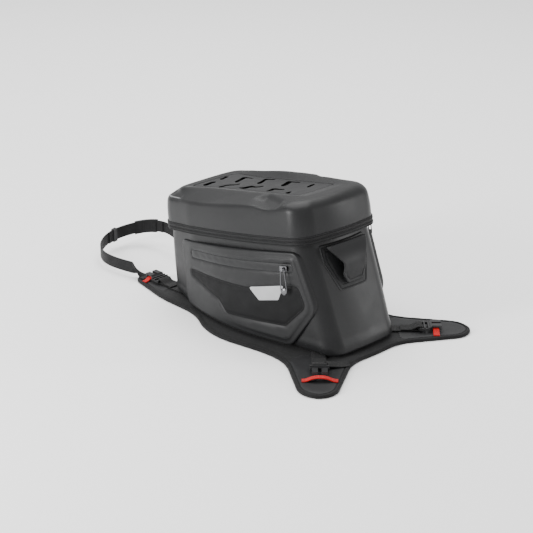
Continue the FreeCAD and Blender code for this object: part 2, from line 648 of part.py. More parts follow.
def slider(length, height, radius):
    """Slider that follows an arc of that radius, with a bow over it for the puller's bar."""
    body = Part.makeBox(SLIDER_RISE + FIT, length, height, V(-FIT, -length / 2, -height / 2))
    upright = [e for e in body.Edges if abs(e.tangentAt(e.FirstParameter).x) > 0.9]
    body = body.makeFillet(1.0, upright)
    run = Part.makeCylinder(radius + FIT, 2 * height, V(-radius, 0, -height))
    half = height * BOW_SHARE / 2
    bow = Part.makeBox(BOW_DEPTH, BOW_WIDTH, 2 * half, V(BOW_LOW, -BOW_WIDTH / 2, -half))
    opening = half - BOW_WALL
    window_start = V(SLIDER_OUT - BOW_WALL, -BOW_WIDTH, -opening)
    window = Part.makeBox(2 * BOW_WALL, 2 * BOW_WIDTH, 2 * opening, window_start)
    return body.cut(run).fuse(bow.cut(window)).removeSplitter()


def puller(top_half, foot_half, length):
    """Wire loop that hangs from the bow, wider towards its foot, which carries a flat bead."""
    half_wire = PULLER_WIRE / 2
    outer = [
        (-top_half, half_wire, 0.8), (-foot_half, -length * 0.8, 4.0), (-foot_half * 0.6, -length, 2.0),
        (foot_half * 0.6, -length, 2.0), (foot_half, -length * 0.8, 4.0), (top_half, half_wire, 0.8),
    ]
    inner = [
        (-top_half + PULLER_WIRE, -half_wire, 0.8), (-foot_half + PULLER_WIRE, -length * 0.78, 1.0),
        (foot_half - PULLER_WIRE, -length * 0.78, 1.0), (top_half - PULLER_WIRE, -half_wire, 0.8),
    ]
    blade = Part.Face(rounded_wire(outer)).extrude(V(0, 0, PULLER_WIRE))
    blade = blade.cut(Part.Face(rounded_wire(inner)).extrude(V(0, 0, PULLER_WIRE)))
    square_bar = Part.makeBox(2 * top_half, PULLER_WIRE, PULLER_WIRE, V(-top_half, -half_wire, 0))
    round_bar = Part.makeCylinder(half_wire, 2 * top_half, V(-top_half, 0, half_wire), V(1, 0, 0))
    blade = blade.cut(square_bar).fuse(round_bar)
    # (along, across, out) becomes (out, along, across)
    turned = FreeCAD.Matrix(0, 0, 1, SLIDER_OUT - half_wire, 1, 0, 0, 0, 0, 1, 0, 0, 0, 0, 0, 1)
    placed = blade.removeSplitter()
    placed.Placement = FreeCAD.Placement(turned)
    return placed


def build_sliders():
    track = lid_track()
    rest = track.valueAt(track.FirstParameter)
    parts["lid_zip_slider"] = place_on_track(slider(*LID_SLIDER, track.Curve.Radius), track, rest)
    parts["lid_zip_puller"] = place_on_track(puller(*LID_PULLER), track, rest)
    for name, side in SIDES:
        track = pocket_track(side)
        rest = track.valueAt(track.FirstParameter)
        radius = track.Curve.Radius
        parts["pocket_slider_" + name] = place_on_track(slider(*POCKET_SLIDER, radius), track, rest)
        parts["pocket_puller_" + name] = place_on_track(puller(*POCKET_PULLER), track, rest)


def lid_track():
    """Arc that the lid zip follows along the right side of the band."""
    corners = mirror_half(BAND_LINE)
    start, middle, end, _ = corner_arc(corners[1], corners[2], corners[3])
    points = [to_zip_plane(Part.Vertex(p)).Point for p in (start, middle, end)]
    return Part.Arc(*points).toShape()


def pocket_track(side):
    """Arc through three points of the pocket face on the middle line of its zip."""
    solid = pocket_volume(POCKET_SKIN)
    points = [face_point(solid, y, z, side) for y, z in POCKET_ZIP_STOPS]
    return Part.Arc(*points).toShape()


build_harness()
build_body()
build_lid()
build_pockets()
build_handle()
build_hooks()
build_strap()
build_sliders()

os.makedirs("parts", exist_ok=True)
for node, shape in parts.items():
    shape.exportStep("parts/" + node + ".step")
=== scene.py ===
import json
import math
import bmesh
import bpy
import numpy as np
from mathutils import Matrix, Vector
from mathutils.bvhtree import BVHTree
from mathutils.geometry import delaunay_2d_cdt


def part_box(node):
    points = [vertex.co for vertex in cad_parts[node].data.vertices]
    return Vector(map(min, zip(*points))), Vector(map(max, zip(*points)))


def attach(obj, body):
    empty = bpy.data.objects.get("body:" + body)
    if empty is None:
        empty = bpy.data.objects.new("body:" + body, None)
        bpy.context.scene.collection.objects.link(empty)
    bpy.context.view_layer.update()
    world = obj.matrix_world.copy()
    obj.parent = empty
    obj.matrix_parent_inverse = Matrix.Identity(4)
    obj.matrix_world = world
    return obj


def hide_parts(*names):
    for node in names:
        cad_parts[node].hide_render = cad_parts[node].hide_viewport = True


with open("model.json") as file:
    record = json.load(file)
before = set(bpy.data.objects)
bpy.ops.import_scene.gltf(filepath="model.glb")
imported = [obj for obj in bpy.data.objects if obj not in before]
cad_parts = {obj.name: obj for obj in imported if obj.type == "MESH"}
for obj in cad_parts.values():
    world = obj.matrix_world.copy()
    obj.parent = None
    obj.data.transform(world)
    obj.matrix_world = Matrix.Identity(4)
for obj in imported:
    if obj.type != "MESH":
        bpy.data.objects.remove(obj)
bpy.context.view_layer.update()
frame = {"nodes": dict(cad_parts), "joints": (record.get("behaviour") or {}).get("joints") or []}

scene = bpy.context.scene

# ---- outlines, in millimetres, as in the CAD model: +Y towards the front of the bike, +X right ----
# Half outlines as (x, y, corner radius), rear to front; the other half mirrors them.
HARNESS = [
    (0, -270, 400), (48, -268, 70), (133, -320, 30), (157, -310, 21), (167, -283, 32),
    (108, -198, 85), (110, -150, 150), (124, -56, 130), (88, 8, 110), (84, 90, 200),
    (64, 178, 19), (25, 178, 19), (27, 112, 12),
]
BODY_BASE = [(0, -258, 600), (65, -255, 26), (79, -130, 420), (79, 12, 150), (51, 97, 32), (0, 101, 300)]
BODY_TOP = [(0, -199, 250), (71, -188, 28), (84, -86, 600), (77, 24, 150), (66, 93, 32), (0, 98, 500)]
POCKET_BASE = [(0, -258, 600), (66, -262, 24), (103, -66, 330), (76, 40, 130), (51, 97, 32), (0, 101, 300)]
POCKET_TOP = [(0, -199, 600), (75, -196, 24), (93, -84, 420), (80, 26, 150), (66, 93, 32), (0, 98, 500)]
BAND_LINE = [(0, -212, 250), (77, -202, 34), (91, -90, 900), (84, 24, 150), (72, 100, 36), (0, 105, 600)]
LID_CREST_LINE = [(0, -163, 200), (40, -158, 9), (37, -84, 500), (40, 4, 300), (53, 62, 12), (0, 68, 300)]
# Outlines on the side walls, as (y, z, corner radius).
POCKET_EDGE = [(-186, 147, 14), (-221, 70, 26), (-182, 9, 20), (40, 9, 18), (54, 105, 12)]
POCKET_ZIP = [(-181, 118, 4.4), (-181, 129, 4.4), (22, 97, 4.4), (22, 86, 4.4)]
POCKET_INSET = [
    (24, 58, 4), (24, 68, 4), (-104, 79, 20), (-190, 101, 10), (-205, 72, 12), (-173, 37, 8),
    (-66, 28, 10), (-48, 44, 10),
]
REFLECTOR = [(-109, 80, 2), (-168, 96, 2), (-160, 73, 2), (-128, 65, 2)]
# Grab handle: (height, distance from the rear wall), then outlines on the rear wall.
HANDLE_LINE = [
    (151.5, 3.2), (146.0, 5.4), (139.0, 9.0), (131.0, 11.0), (122.0, 10.0), (114.0, 6.2),
    (107.0, 3.6), (98.0, 3.0),
]
HANDLE_EDGE = [
    (-38, 160, 4), (-38, 149, 8), (-21, 128, 10), (-22, 112, 5), (-15, 99, 5),
    (15, 99, 5), (22, 112, 5), (21, 128, 10), (38, 149, 8), (38, 160, 4),
]
PATCH_EDGE = [(-44, 152, 3), (-44, 128, 8), (-27, 88, 5), (27, 88, 5), (44, 128, 8), (44, 152, 3)]
# Corners of the harness: name, x, y, direction in degrees, gap to the loop, length of the loop.
HOOKS = [
    ("front_left", -46.0, 151.0, 90.0, 0.0, 40.0),
    ("front_right", 46.0, 151.0, 90.0, 0.0, 40.0),
    ("rear_left", -124.0, -280.0, 225.0, 14.0, 48.0),
    ("rear_right", 116.0, -277.0, 315.0, 0.0, 48.0),
]
# Middle line of the front strap, standing on edge.
STRAP_LINE = [
    (-56, 192, 15.5), (-61, 225, 15.5), (-59, 259, 16), (-46, 285, 17.5), (-24, 304, 20), (2, 313.4, 23),
    (26, 312.4, 25.5), (46, 300, 30), (58, 274, 36), (60, 240, 38), (58, 212, 30), (56, 192, 15.5),
]
# The plane of the lid zip drops towards the front.
ZIP_HEIGHT = 132.0
ZIP_TILT = math.radians(9.1)
COS = math.cos(ZIP_TILT)
SIN = math.sin(ZIP_TILT)
LOFT_REACH = 12.0
BAG_BASE = 7.4
BAND = 6.0
ZIP_GAP = 0.3
PAD_TOP = 4.4
BINDING_WIDTH = 5.0
WING_PANEL_TOP = 5.2
RECESS_FLOOR = 49.5
LOOP_WIDTH = 9.0
LOOP_THICK = 2.0
LOOP_RISE = 5.2
PIVOT = -22.0
PIVOT_HEIGHT = 10.2
WEBBING = 20.0
WEBBING_THICK = 1.6
STRAP_HEIGHT = 19.0
TAB_FLAT = 6.2
PANEL_TOP = 54.2
PANEL_THICK = 1.6
NET_HEIGHT = 43.6
NET_SAG = 1.4
NET_THICK = 0.5
UP = [0.0, 0.0, 1.0]


# ---- outline helpers ------------------------------------------------------------------------
def mirror_half(half):
    """The whole outline from its right half, anticlockwise."""
    return half + [(-x, y, r) for x, y, r in reversed(half) if x > 0]


def offset_corners(corners, distance):
    """Corners of an anticlockwise outline moved outwards, with their radii kept concentric."""
    moved = []
    count = len(corners)
    for i in range(count):
        a, b, c = (corners[(i + k) % count] for k in (-1, 0, 1))
        d1 = Vector((b[0] - a[0], b[1] - a[1])).normalized()
        d2 = Vector((c[0] - b[0], c[1] - b[1])).normalized()
        n1 = Vector((d1.y, -d1.x))
        n2 = Vector((d2.y, -d2.x))
        shift = (n1 + n2) * (distance / (1 + n1.dot(n2)))
        radius = b[2] + distance if d1.cross(d2) > 0 else b[2] - distance
        moved.append((b[0] + shift.x, b[1] + shift.y, max(radius, 0.5)))
    return moved


def corner_arc(before, corner, after, steps):
    """Points of the rounded corner between two edges."""
    p = np.array(corner[:2], float)
    u = np.array(before[:2], float) - p
    v = np.array(after[:2], float) - p
    u /= np.linalg.norm(u)
    v /= np.linalg.norm(v)
    half_angle = math.acos(max(-1.0, min(1.0, float(u @ v)))) / 2
    reach = corner[2] / math.tan(half_angle)
    bisector = (u + v) / np.linalg.norm(u + v)
    centre = p + bisector * (corner[2] / math.sin(half_angle))
    start = p + u * reach - centre
    end = p + v * reach - centre
    a0 = math.atan2(start[1], start[0])
    turn = (math.atan2(end[1], end[0]) - a0 + math.pi) % (2 * math.pi) - math.pi
    angles = a0 + turn * np.linspace(0, 1, steps + 1)
    return centre + corner[2] * np.column_stack([np.cos(angles), np.sin(angles)])


def ring(corners, arc_steps=10, edge_steps=16):
    """Points round an outline, as many for each corner and edge whatever their size."""
    count = len(corners)
    arcs = [corner_arc(corners[i - 1], corners[i], corners[(i + 1) % count], arc_steps) for i in range(count)]
    points = []
    for i, arc in enumerate(arcs):
        points.append(arc)
        share = np.linspace(0, 1, edge_steps + 1)[1:-1, None]
        points.append(arc[-1] + (arcs[(i + 1) % count][0] - arc[-1]) * share)
    return np.vstack(points)


def lengths(line):
    """Length of a line up to each of its points."""
    return np.concatenate([[0], np.cumsum(np.linalg.norm(np.diff(line, axis=0), axis=1))])


def unit(vectors):
    return vectors / np.linalg.norm(vectors, axis=1)[:, None]


def closed_frame(line):
    """Directions along a closed flat outline and outwards from it, at each point."""
    ahead = unit(np.roll(line, -1, axis=0) - np.roll(line, 1, axis=0))
    return ahead, np.column_stack([ahead[:, 1], -ahead[:, 0]])


def evenly(points, spacing, closed=True):
    """The same line in equal steps near the given spacing."""
    line = np.vstack([points, points[:1]]) if closed else np.asarray(points, float)
    reach = lengths(line)
    count = max(3, int(round(reach[-1] / spacing)))
    at = np.linspace(0, reach[-1], count + 1)
    if closed:
        at = at[:-1]
    return np.column_stack([np.interp(at, reach, line[:, k]) for k in range(line.shape[1])])


def even_outline(corners, spacing):
    return evenly(ring(corners, 24, 2), spacing)


def moved_in(corners, inwards, spacing):
    """An anticlockwise outline moved inwards; a clockwise one moves outwards."""
    return even_outline(offset_corners(corners, -inwards), spacing)


def inside_distance(points, outline):
    """Distance from each point to an outline, positive inside it."""
    a = outline
    b = np.roll(outline, -1, axis=0)
    near = np.full(len(points), 1e9)
    crossings = np.zeros(len(points), int)
    for (ax, ay), (bx, by) in zip(a, b):
        dx, dy = bx - ax, by - ay
        share = ((points[:, 0] - ax) * dx + (points[:, 1] - ay) * dy) / max(dx * dx + dy * dy, 1e-12)
        share = np.clip(share, 0, 1)
        near = np.minimum(near, np.hypot(points[:, 0] - ax - share * dx, points[:, 1] - ay - share * dy))
        if ay != by:
            across = (points[:, 1] >= min(ay, by)) & (points[:, 1] < max(ay, by))
            crossings += across & (ax + (points[:, 1] - ay) / dy * dx > points[:, 0])
    return np.where(crossings % 2 == 1, near, -near)


def smooth(value, low, high):
    """A gentle step from zero at low to one at high."""
    t = np.clip((np.asarray(value, float) - low) / (high - low), 0, 1)
    return t * t * (3 - 2 * t)


def bump(value, centre, width):
    """A rounded hump of height one."""
    return np.exp(-((value - centre) / width) ** 2)


def quarter_round(into, radius):
    """How far a rounded edge falls away, at a distance in from the edge."""
    return radius * (1 - np.sqrt(np.clip(1 - ((radius - np.clip(into, 0, radius)) / radius) ** 2, 0, 1)))


def from_zip(points):
    """From the tilted zip plane's (x, y, height) to the row frame."""
    points = np.asarray(points, float)
    x, y, h = points[..., 0], points[..., 1], points[..., 2]
    return np.stack([x, y * COS + h * SIN, ZIP_HEIGHT - y * SIN + h * COS], axis=-1)


def with_height(flat, height):
    return np.column_stack([flat, np.broadcast_to(height, (len(flat),))])


# ---- mesh helpers ---------------------------------------------------------------------------
def make(name, points, faces, material, body="bag", slot=None, replaces=(), sharp=35.0, uvs=None):
    """A piece from points in millimetres, riding on a body."""
    mesh = bpy.data.meshes.new(name)
    mesh.from_pydata((np.asarray(points, float) / 1000).tolist(), [], [list(f) for f in faces])
    if uvs is not None:
        layer = mesh.uv_layers.new(name="UVMap")
        index = np.zeros(len(mesh.loops), int)
        mesh.loops.foreach_get("vertex_index", index)
        layer.data.foreach_set("uv", np.asarray(uvs, np.float32)[index].ravel())
    mesh.validate()
    bm = bmesh.new()
    bm.from_mesh(mesh)
    bmesh.ops.recalc_face_normals(bm, faces=bm.faces)
    bm.to_mesh(mesh)
    bm.free()
    mesh.shade_smooth()
    mesh.set_sharp_from_angle(angle=math.radians(sharp))
    piece = bpy.data.objects.new(name, mesh)
    scene.collection.objects.link(piece)
    mesh.materials.append(material)
    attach(piece, body)
    if replaces:
        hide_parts(*replaces)
    return piece


def tube_faces(rows, count, closed_rows=False, closed_ring=True):
    faces = []
    ring_steps = count if closed_ring else count - 1
    for r in range(rows if closed_rows else rows - 1):
        a = r * count
        b = ((r + 1) % rows) * count
        for i in range(ring_steps):
            j = (i + 1) % count
            faces.append((a + i, a + j, b + j, b + i))
    return faces


def skin(rows, cap_first=False, cap_last=False):
    """Points and faces of a surface through rings of equal count."""
    count = len(rows[0])
    faces = tube_faces(len(rows), count)
    if cap_first:
        faces.append(tuple(range(count)))
    if cap_last:
        faces.append(tuple(range((len(rows) - 1) * count, len(rows) * count)))
    return np.vstack(rows), faces


def fill(outline, loops=(), spacing=5.0, keep=None):
    """Triangles inside a flat outline, with rows of points along the loops."""
    verts = [tuple(p) for p in outline]
    count = len(verts)
    edges = [(i, (i + 1) % count) for i in range(count)]
    for loop in loops:
        first = len(verts)
        verts += [tuple(p) for p in loop]
        size = len(loop)
        edges += [(first + i, first + (i + 1) % size) for i in range(size)]
    fixed = np.array(verts)
    low = outline.min(0)
    high = outline.max(0)
    xs = np.arange(low[0], high[0], spacing)
    ys = np.arange(low[1], high[1], spacing * 0.866)
    grid = np.array([(x + (k % 2) * spacing / 2, y) for k, y in enumerate(ys) for x in xs])
    grid = grid[inside_distance(grid, outline) > spacing * 0.5]
    clear = np.full(len(grid), 1e9)
    for p in fixed:
        clear = np.minimum(clear, (grid[:, 0] - p[0]) ** 2 + (grid[:, 1] - p[1]) ** 2)
    verts += [tuple(p) for p in grid[clear > (spacing * 0.5) ** 2]]
    found = delaunay_2d_cdt([Vector(v) for v in verts], edges, [], 1, 1e-4, False)
    points = np.array([tuple(v) for v in found[0]])
    faces = [tuple(f) for f in found[2]]
    middles = np.array([points[list(f)].mean(0) for f in faces])
    inside = inside_distance(middles, outline) > 0
    if keep is not None:
        inside &= keep(middles)
    return points, [f for f, ok in zip(faces, inside) if ok]


def boundary_loop(faces):
    """Edges used by one face only, as pairs in face order."""
    seen = {}
    for f in faces:
        for i in range(len(f)):
            a, b = f[i], f[(i + 1) % len(f)]
            key = (min(a, b), max(a, b))
            seen[key] = None if key in seen else (a, b)
    return [edge for edge in seen.values() if edge]


def slab(top, bottom, faces):
    """Close two copies of a filled face with a side wall."""
    count = len(top)
    closed = list(faces) + [tuple(count + i for i in reversed(f)) for f in faces]
    closed += [(b, a, a + count, b + count) for a, b in boundary_loop(faces)]
    return np.vstack([top, bottom]), closed


def ribbon(line, across, width, thick, corner=0.45):
    """Flat band with rounded edges along a line; across is its width direction at each point."""
    line = np.asarray(line, float)
    across = np.asarray(across, float)
    across /= np.linalg.norm(across, axis=1)[:, None]
    along = np.gradient(line, axis=0)
    along /= np.linalg.norm(along, axis=1)[:, None]
    out = np.cross(along, across)
    out /= np.linalg.norm(out, axis=1)[:, None]
    half = width / 2
    lift = thick / 2
    cut = corner * thick
    profile = []
    for share in np.linspace(-1, 1, 9):
        profile.append((share * (half - cut), lift))
    profile.append((half - cut * 0.3, lift * 0.75))
    profile.append((half, 0))
    profile.append((half - cut * 0.3, -lift * 0.75))
    for share in np.linspace(1, -1, 9):
        profile.append((share * (half - cut), -lift))
    profile.append((-half + cut * 0.3, -lift * 0.75))
    profile.append((-half, 0))
    profile.append((-half + cut * 0.3, lift * 0.75))
    rows = []
    uvs = []
    reach = lengths(line)
    for k in range(len(line)):
        rows.append(np.array([line[k] + across[k] * a + out[k] * b for a, b in profile]))
        uvs += [(reach[k] / 1000, a / 1000) for a, b in profile]
    points, faces = skin(rows, True, True)
    return points, faces, uvs


def spline(points, steps):
    """Smooth line through points, with chord-length spacing and free ends."""
    points = np.asarray(points, float)
    t = lengths(points)
    h = np.diff(t)
    n = len(points)
    matrix = np.eye(n)
    right = np.zeros((n, points.shape[1]))
    for i in range(1, n - 1):
        matrix[i, i - 1:i + 2] = (h[i - 1], 2 * (h[i - 1] + h[i]), h[i])
        right[i] = 6 * ((points[i + 1] - points[i]) / h[i] - (points[i] - points[i - 1]) / h[i - 1])
    second = np.linalg.solve(matrix, right)
    out = []
    for at in np.linspace(0, t[-1], steps + 1):
        i = min(int(np.searchsorted(t, at, side="right")) - 1, n - 2)
        a = (t[i + 1] - at) / h[i]
        b = (at - t[i]) / h[i]
        out.append(a * points[i] + b * points[i + 1]
                   + ((a ** 3 - a) * second[i] + (b ** 3 - b) * second[i + 1]) * h[i] ** 2 / 6)
    return np.array(out)


def stitches(line, normals, length=2.6, step=4.2, radius=0.36, lift=0.1):
    """A row of thread stitches lying along a line."""
    line = np.asarray(line, float)
    reach = lengths(line)
    points = []
    faces = []
    for at in np.arange(step / 2, reach[-1] - step / 2, step):
        centre = np.array([np.interp(at, reach, line[:, k]) for k in range(3)])
        ahead = np.array([np.interp(at + 0.5, reach, line[:, k]) for k in range(3)])
        up = np.array([np.interp(at, reach, normals[:, k]) for k in range(3)])
        up /= np.linalg.norm(up)
        along = ahead - centre
        along /= np.linalg.norm(along)
        side = np.cross(up, along)
        for share, size, sink in ((-0.5, 0.5, 0.3), (-0.3, 1.0, 0.0), (0.3, 1.0, 0.0), (0.5, 0.5, 0.3)):
            middle = centre + along * length * share + up * (lift - sink)
            for k in range(6):
                turn = math.pi * k / 3
                points.append(middle + (side * math.cos(turn) + up * math.sin(turn)) * radius * size)
        first = len(points) - 24
        faces += [tuple(first + v for v in f) for f in tube_faces(4, 6)]
        faces += [tuple(first + k for k in range(6)), tuple(first + 18 + k for k in range(6))]
    return np.array(points), faces


# ---- materials ------------------------------------------------------------------------------
def link(tree, source, target):
    tree.links.new(source, target)


def finish(name, colour, rough, spread=0.12, tone=0.25, tone_scale=18.0, grain=900.0, grain_depth=0.00006,
           weave=None, weave_depth=0.00025, rough_scale=60.0, metallic=0.0, sheen=0.0, sheen_rough=0.5,
           specular=0.2, uv_weave=False, edge=0.0):
    """A procedural surface: uneven tone, uneven roughness, fine grain and, if asked, a weave."""
    material = bpy.data.materials.new(name)
    material.use_nodes = True
    tree = material.node_tree
    shader = tree.nodes["Principled BSDF"]
    for socket, value in (("Metallic", metallic), ("Sheen Weight", sheen), ("Sheen Roughness", sheen_rough),
                          ("Specular IOR Level", specular)):
        shader.inputs[socket].default_value = value

    def add(kind, settings=(), values=(), links=()):
        node = tree.nodes.new("ShaderNode" + kind)
        for key, value in dict(settings).items():
            setattr(node, key, value)
        for key, value in dict(values).items():
            node.inputs[key].default_value = value
        for key, source in dict(links).items():
            link(tree, source, node.inputs[key])
        return node

    def noise(scale, detail):
        return add("TexNoise", {}, {"Scale": scale, "Detail": detail}, {"Vector": place}).outputs["Fac"]

    def remap(value, low, high):
        span = {"From Min": 0.3, "From Max": 0.7, "To Min": low, "To Max": high}
        return add("MapRange", {}, span, {"Value": value}).outputs["Result"]

    place = add("TexCoord").outputs["Object"]
    dark = (*[c * (1 - tone) for c in colour], 1)
    light = (*[min(1, c * (1 + tone)) for c in colour], 1)
    tint = add("Mix", {"data_type": "RGBA"}, {"A": dark, "B": light},
               {"Factor": remap(noise(tone_scale, 4), 0, 1)}).outputs["Result"]
    uneven = remap(noise(rough_scale, 5), rough - spread / 2, rough + spread / 2)
    link(tree, uneven, shader.inputs["Roughness"])
    normal = add("Bump", {}, {"Strength": 0.8, "Distance": grain_depth},
                 {"Height": noise(grain, 3)}).outputs["Normal"]
    if weave:
        threads = add("UVMap").outputs["UV"] if uv_weave else place
        scaled = add("Mapping", {}, {"Rotation": (0, 0, 0 if uv_weave else math.radians(45))},
                     {"Vector": threads}).outputs["Vector"]
        warp, weft = (add("TexWave", {"bands_direction": axis},
                          {"Scale": 0.314 / pitch, "Distortion": 0.4, "Detail": 1.0},
                          {"Vector": scaled}).outputs["Fac"] for axis, pitch in zip("XY", weave))
        cross = add("Math", {"operation": "MULTIPLY"}, {}, {0: warp, 1: weft}).outputs["Value"]
        normal = add("Bump", {}, {"Strength": 0.9, "Distance": weave_depth},
                     {"Height": cross, "Normal": normal}).outputs["Normal"]
        darker = add("MapRange", {}, {"To Min": 0.62, "To Max": 1.15}, {"Value": cross}).outputs["Result"]
        tint = add("Mix", {"data_type": "RGBA", "blend_type": "MULTIPLY"}, {"Factor": 1.0},
                   {"A": tint, "B": darker}).outputs["Result"]
    # Convex edges, found by pointiness, are mixed towards a lighter colour.
    if edge:
        convex = add("NewGeometry").outputs["Pointiness"]
        convex_share = add("MapRange", {}, {"From Min": 0.5, "From Max": 0.62, "To Max": edge}, {"Value": convex})
        lighter_edge_colour = (*[min(1, c * 2.2 + 0.02) for c in colour], 1)
        tint = add("Mix", {"data_type": "RGBA"}, {"B": lighter_edge_colour},
                   {"A": tint, "Factor": convex_share.outputs["Result"]}).outputs["Result"]
    link(tree, tint, shader.inputs["Base Color"])
    link(tree, normal, shader.inputs["Normal"])
    return material


SHELL = finish("moulded_shell", (0.0125, 0.0127, 0.0132), 0.38, spread=0.06, tone=0.08, grain=1500,
               grain_depth=0.00004, edge=0.15)
POCKET = finish("pocket_cover", (0.0120, 0.0122, 0.0127), 0.42, spread=0.06, tone=0.08, grain=1500,
                grain_depth=0.00004, edge=0.2)
HARNESS_CLOTH = finish("harness_cloth", (0.010, 0.0101, 0.0106), 0.72, tone=0.2, weave=(0.0013, 0.0013),
                       weave_depth=0.00016, sheen=0.06, sheen_rough=0.45)
BINDING = finish("binding_tape", (0.007, 0.007, 0.0074), 0.78, tone=0.25, weave=(0.0011, 0.0011),
                 weave_depth=0.00018, sheen=0.06, sheen_rough=0.4)
WING = finish("wing_panel", (0.017, 0.0172, 0.018), 0.56, spread=0.1, tone=0.12, grain=2200,
              grain_depth=0.0001, edge=0.2)
GRIP = finish("grip_rubber", (0.012, 0.012, 0.0125), 0.75, weave=(0.003, 0.003), weave_depth=0.0007)
FOAM = finish("foam", (0.04, 0.04, 0.041), 0.9, grain=1200, grain_depth=0.0004)
LINING = finish("lining_cloth", (0.13, 0.132, 0.137), 0.62, tone=0.12, grain=1100, grain_depth=0.0002,
                sheen=0.15)
STIFFENER = finish("stiffener_sheet", (0.02, 0.02, 0.021), 0.55, grain=500)
BAND_RUBBER = finish("zip_band", (0.0050, 0.0051, 0.0054), 0.6, spread=0.1, tone=0.15, grain=1800,
                     grain_depth=0.00006, edge=0.2)
# Near-black backing cloth, also put on the slot walls of the lid panel as painted shade inside the slots.
BACKING_AND_SLOT_SHADE = finish("dark_backing", (0.0015, 0.0015, 0.0016), 0.95, specular=0.1, weave=(0.001, 0.001))
PANEL = finish("slot_panel", (0.0155, 0.0158, 0.0165), 0.5, spread=0.08, tone=0.1, grain=1600,
               grain_depth=0.00006, edge=0.2)
NET = finish("net", (0.010, 0.010, 0.0105), 0.8, weave=(0.0026, 0.0026), weave_depth=0.0009, sheen=0.2)
ZIP_TAPE = finish("zip_tape", (0.0115, 0.0117, 0.0123), 0.44, spread=0.08, tone=0.1, grain=1800,
                  grain_depth=0.00006, edge=0.3)
INSET = finish("inset_cloth", (0.0042, 0.0043, 0.0046), 0.6, tone=0.15, grain=2400, grain_depth=0.00012,
               specular=0.14)
REFLECTIVE = finish("reflective_film", (0.36, 0.364, 0.37), 0.5, tone=0.06, tone_scale=60, grain=2600,
                    grain_depth=0.00005)
HANDLE = finish("handle_rubber", (0.0105, 0.0107, 0.0112), 0.5, spread=0.1, tone=0.1, grain=1500,
                grain_depth=0.00007, edge=0.35)
WEBBING_CLOTH = finish("black_webbing", (0.008, 0.008, 0.0084), 0.7, tone=0.2, weave=(0.0016, 0.0011),
                       weave_depth=0.0003, sheen=0.08, sheen_rough=0.4, uv_weave=True)
RED_CLOTH = finish("red_webbing", (0.52, 0.004, 0.004), 0.62, tone=0.1, weave=(0.0016, 0.0011),
                   weave_depth=0.0003, sheen=0.1, sheen_rough=0.4, uv_weave=True)
HOOK_PLASTIC = finish("hook_plastic", (0.009, 0.0091, 0.0096), 0.34, spread=0.12, tone=0.15, grain=1400,
                      grain_depth=0.00008, edge=0.5)
DARK_METAL = finish("dark_metal", (0.012, 0.012, 0.0125), 0.4, metallic=0.3, grain=1600, edge=0.5)
PULLER = finish("puller_rubber", (0.016, 0.016, 0.017), 0.45, grain=1500, edge=0.3)
SILVER = finish("silver_metal", (0.12, 0.12, 0.125), 0.3, spread=0.1, tone=0.05, metallic=1.0, grain=1600,
                grain_depth=0.00003)
BLACK_THREAD = finish("black_thread", (0.014, 0.014, 0.0145), 0.55, sheen=0.1)
RED_THREAD = finish("red_thread", (0.35, 0.008, 0.008), 0.6)

for node, material in {
    "grip_lining": GRIP, "underside_pad": FOAM, "inner_lining": LINING, "base_board": STIFFENER,
    "rim_frame": STIFFENER, "lid_panel_backing": BACKING_AND_SLOT_SHADE, "lid_lining": LINING, "lid_net_hem": BINDING,
    "hinge_welt": BAND_RUBBER, "strap_sleeve": BINDING, "strap_keeper": HOOK_PLASTIC,
    "lid_zip_slider": DARK_METAL, "pocket_slider_left": SILVER, "pocket_slider_right": SILVER,
    "hook_front_left": HOOK_PLASTIC, "hook_front_right": HOOK_PLASTIC, "hook_rear_left": HOOK_PLASTIC,
    "hook_rear_right": HOOK_PLASTIC,
}.items():
    data = frame["nodes"][node].data
    data.materials.clear()
    data.materials.append(material)
for width, nodes in (
    (0.0005, ("hook_front_left", "hook_front_right", "hook_rear_left", "hook_rear_right", "strap_keeper")),
    (0.0004, ("strap_sleeve", "lid_zip_slider", "pocket_slider_left", "pocket_slider_right")),
):
    for node in nodes:
        bevel = frame["nodes"][node].modifiers.new("soft_edges", "BEVEL")
        bevel.width = width
        bevel.segments = 2
        bevel.limit_method = "ANGLE"
        bevel.angle_limit = math.radians(40)

# ---- camera, light, floor -------------------------------------------------------------------
# Metres and degrees: looking down and forwards from the rear left, through a long lens.
CAMERA_LENS = 95.45
CAMERA_PLACE = (-1.3397, -1.4334, 0.8173)
CAMERA_DOWN = 21.2257
CAMERA_TURN = 44.1109
camera_data = bpy.data.cameras.new("camera")
camera = bpy.data.objects.new("camera", camera_data)
scene.collection.objects.link(camera)
scene.camera = camera
camera_data.sensor_width = 36.0
camera_data.lens = CAMERA_LENS
camera_data.clip_end = 30
camera.location = CAMERA_PLACE
camera.rotation_euler = (math.radians(90 - CAMERA_DOWN), 0, math.radians(-CAMERA_TURN))

world = bpy.data.worlds.new("studio")
scene.world = world
world.use_nodes = True
world.node_tree.nodes["Background"].inputs["Color"].default_value = (1.0, 1.0, 1.0, 1)
world.node_tree.nodes["Background"].inputs["Strength"].default_value = 0.85


def soft_light(name, place, target, size, power, shape=1.0):
    """A rectangular area light, aimed at a target; shape is its height over its width."""
    data = bpy.data.lights.new(name, "AREA")
    data.shape = "RECTANGLE"
    data.size = size
    data.size_y = size * shape
    data.energy = power
    lamp = bpy.data.objects.new(name, data)
    scene.collection.objects.link(lamp)
    lamp.location = place
    lamp.rotation_euler = (Vector(target) - Vector(place)).to_track_quat("-Z", "Y").to_euler()


soft_light("top", (0.3, 0.9, 3.0), (0, 0.3, 0), 3.4, 170)
soft_light("left", (-1.8, 0.28, 0.6), (0, -0.1, 0.1), 0.3, 40, 3.0)
soft_light("right", (1.3, -1.35, 0.5), (0, -0.15, 0.1), 0.25, 10, 3.0)

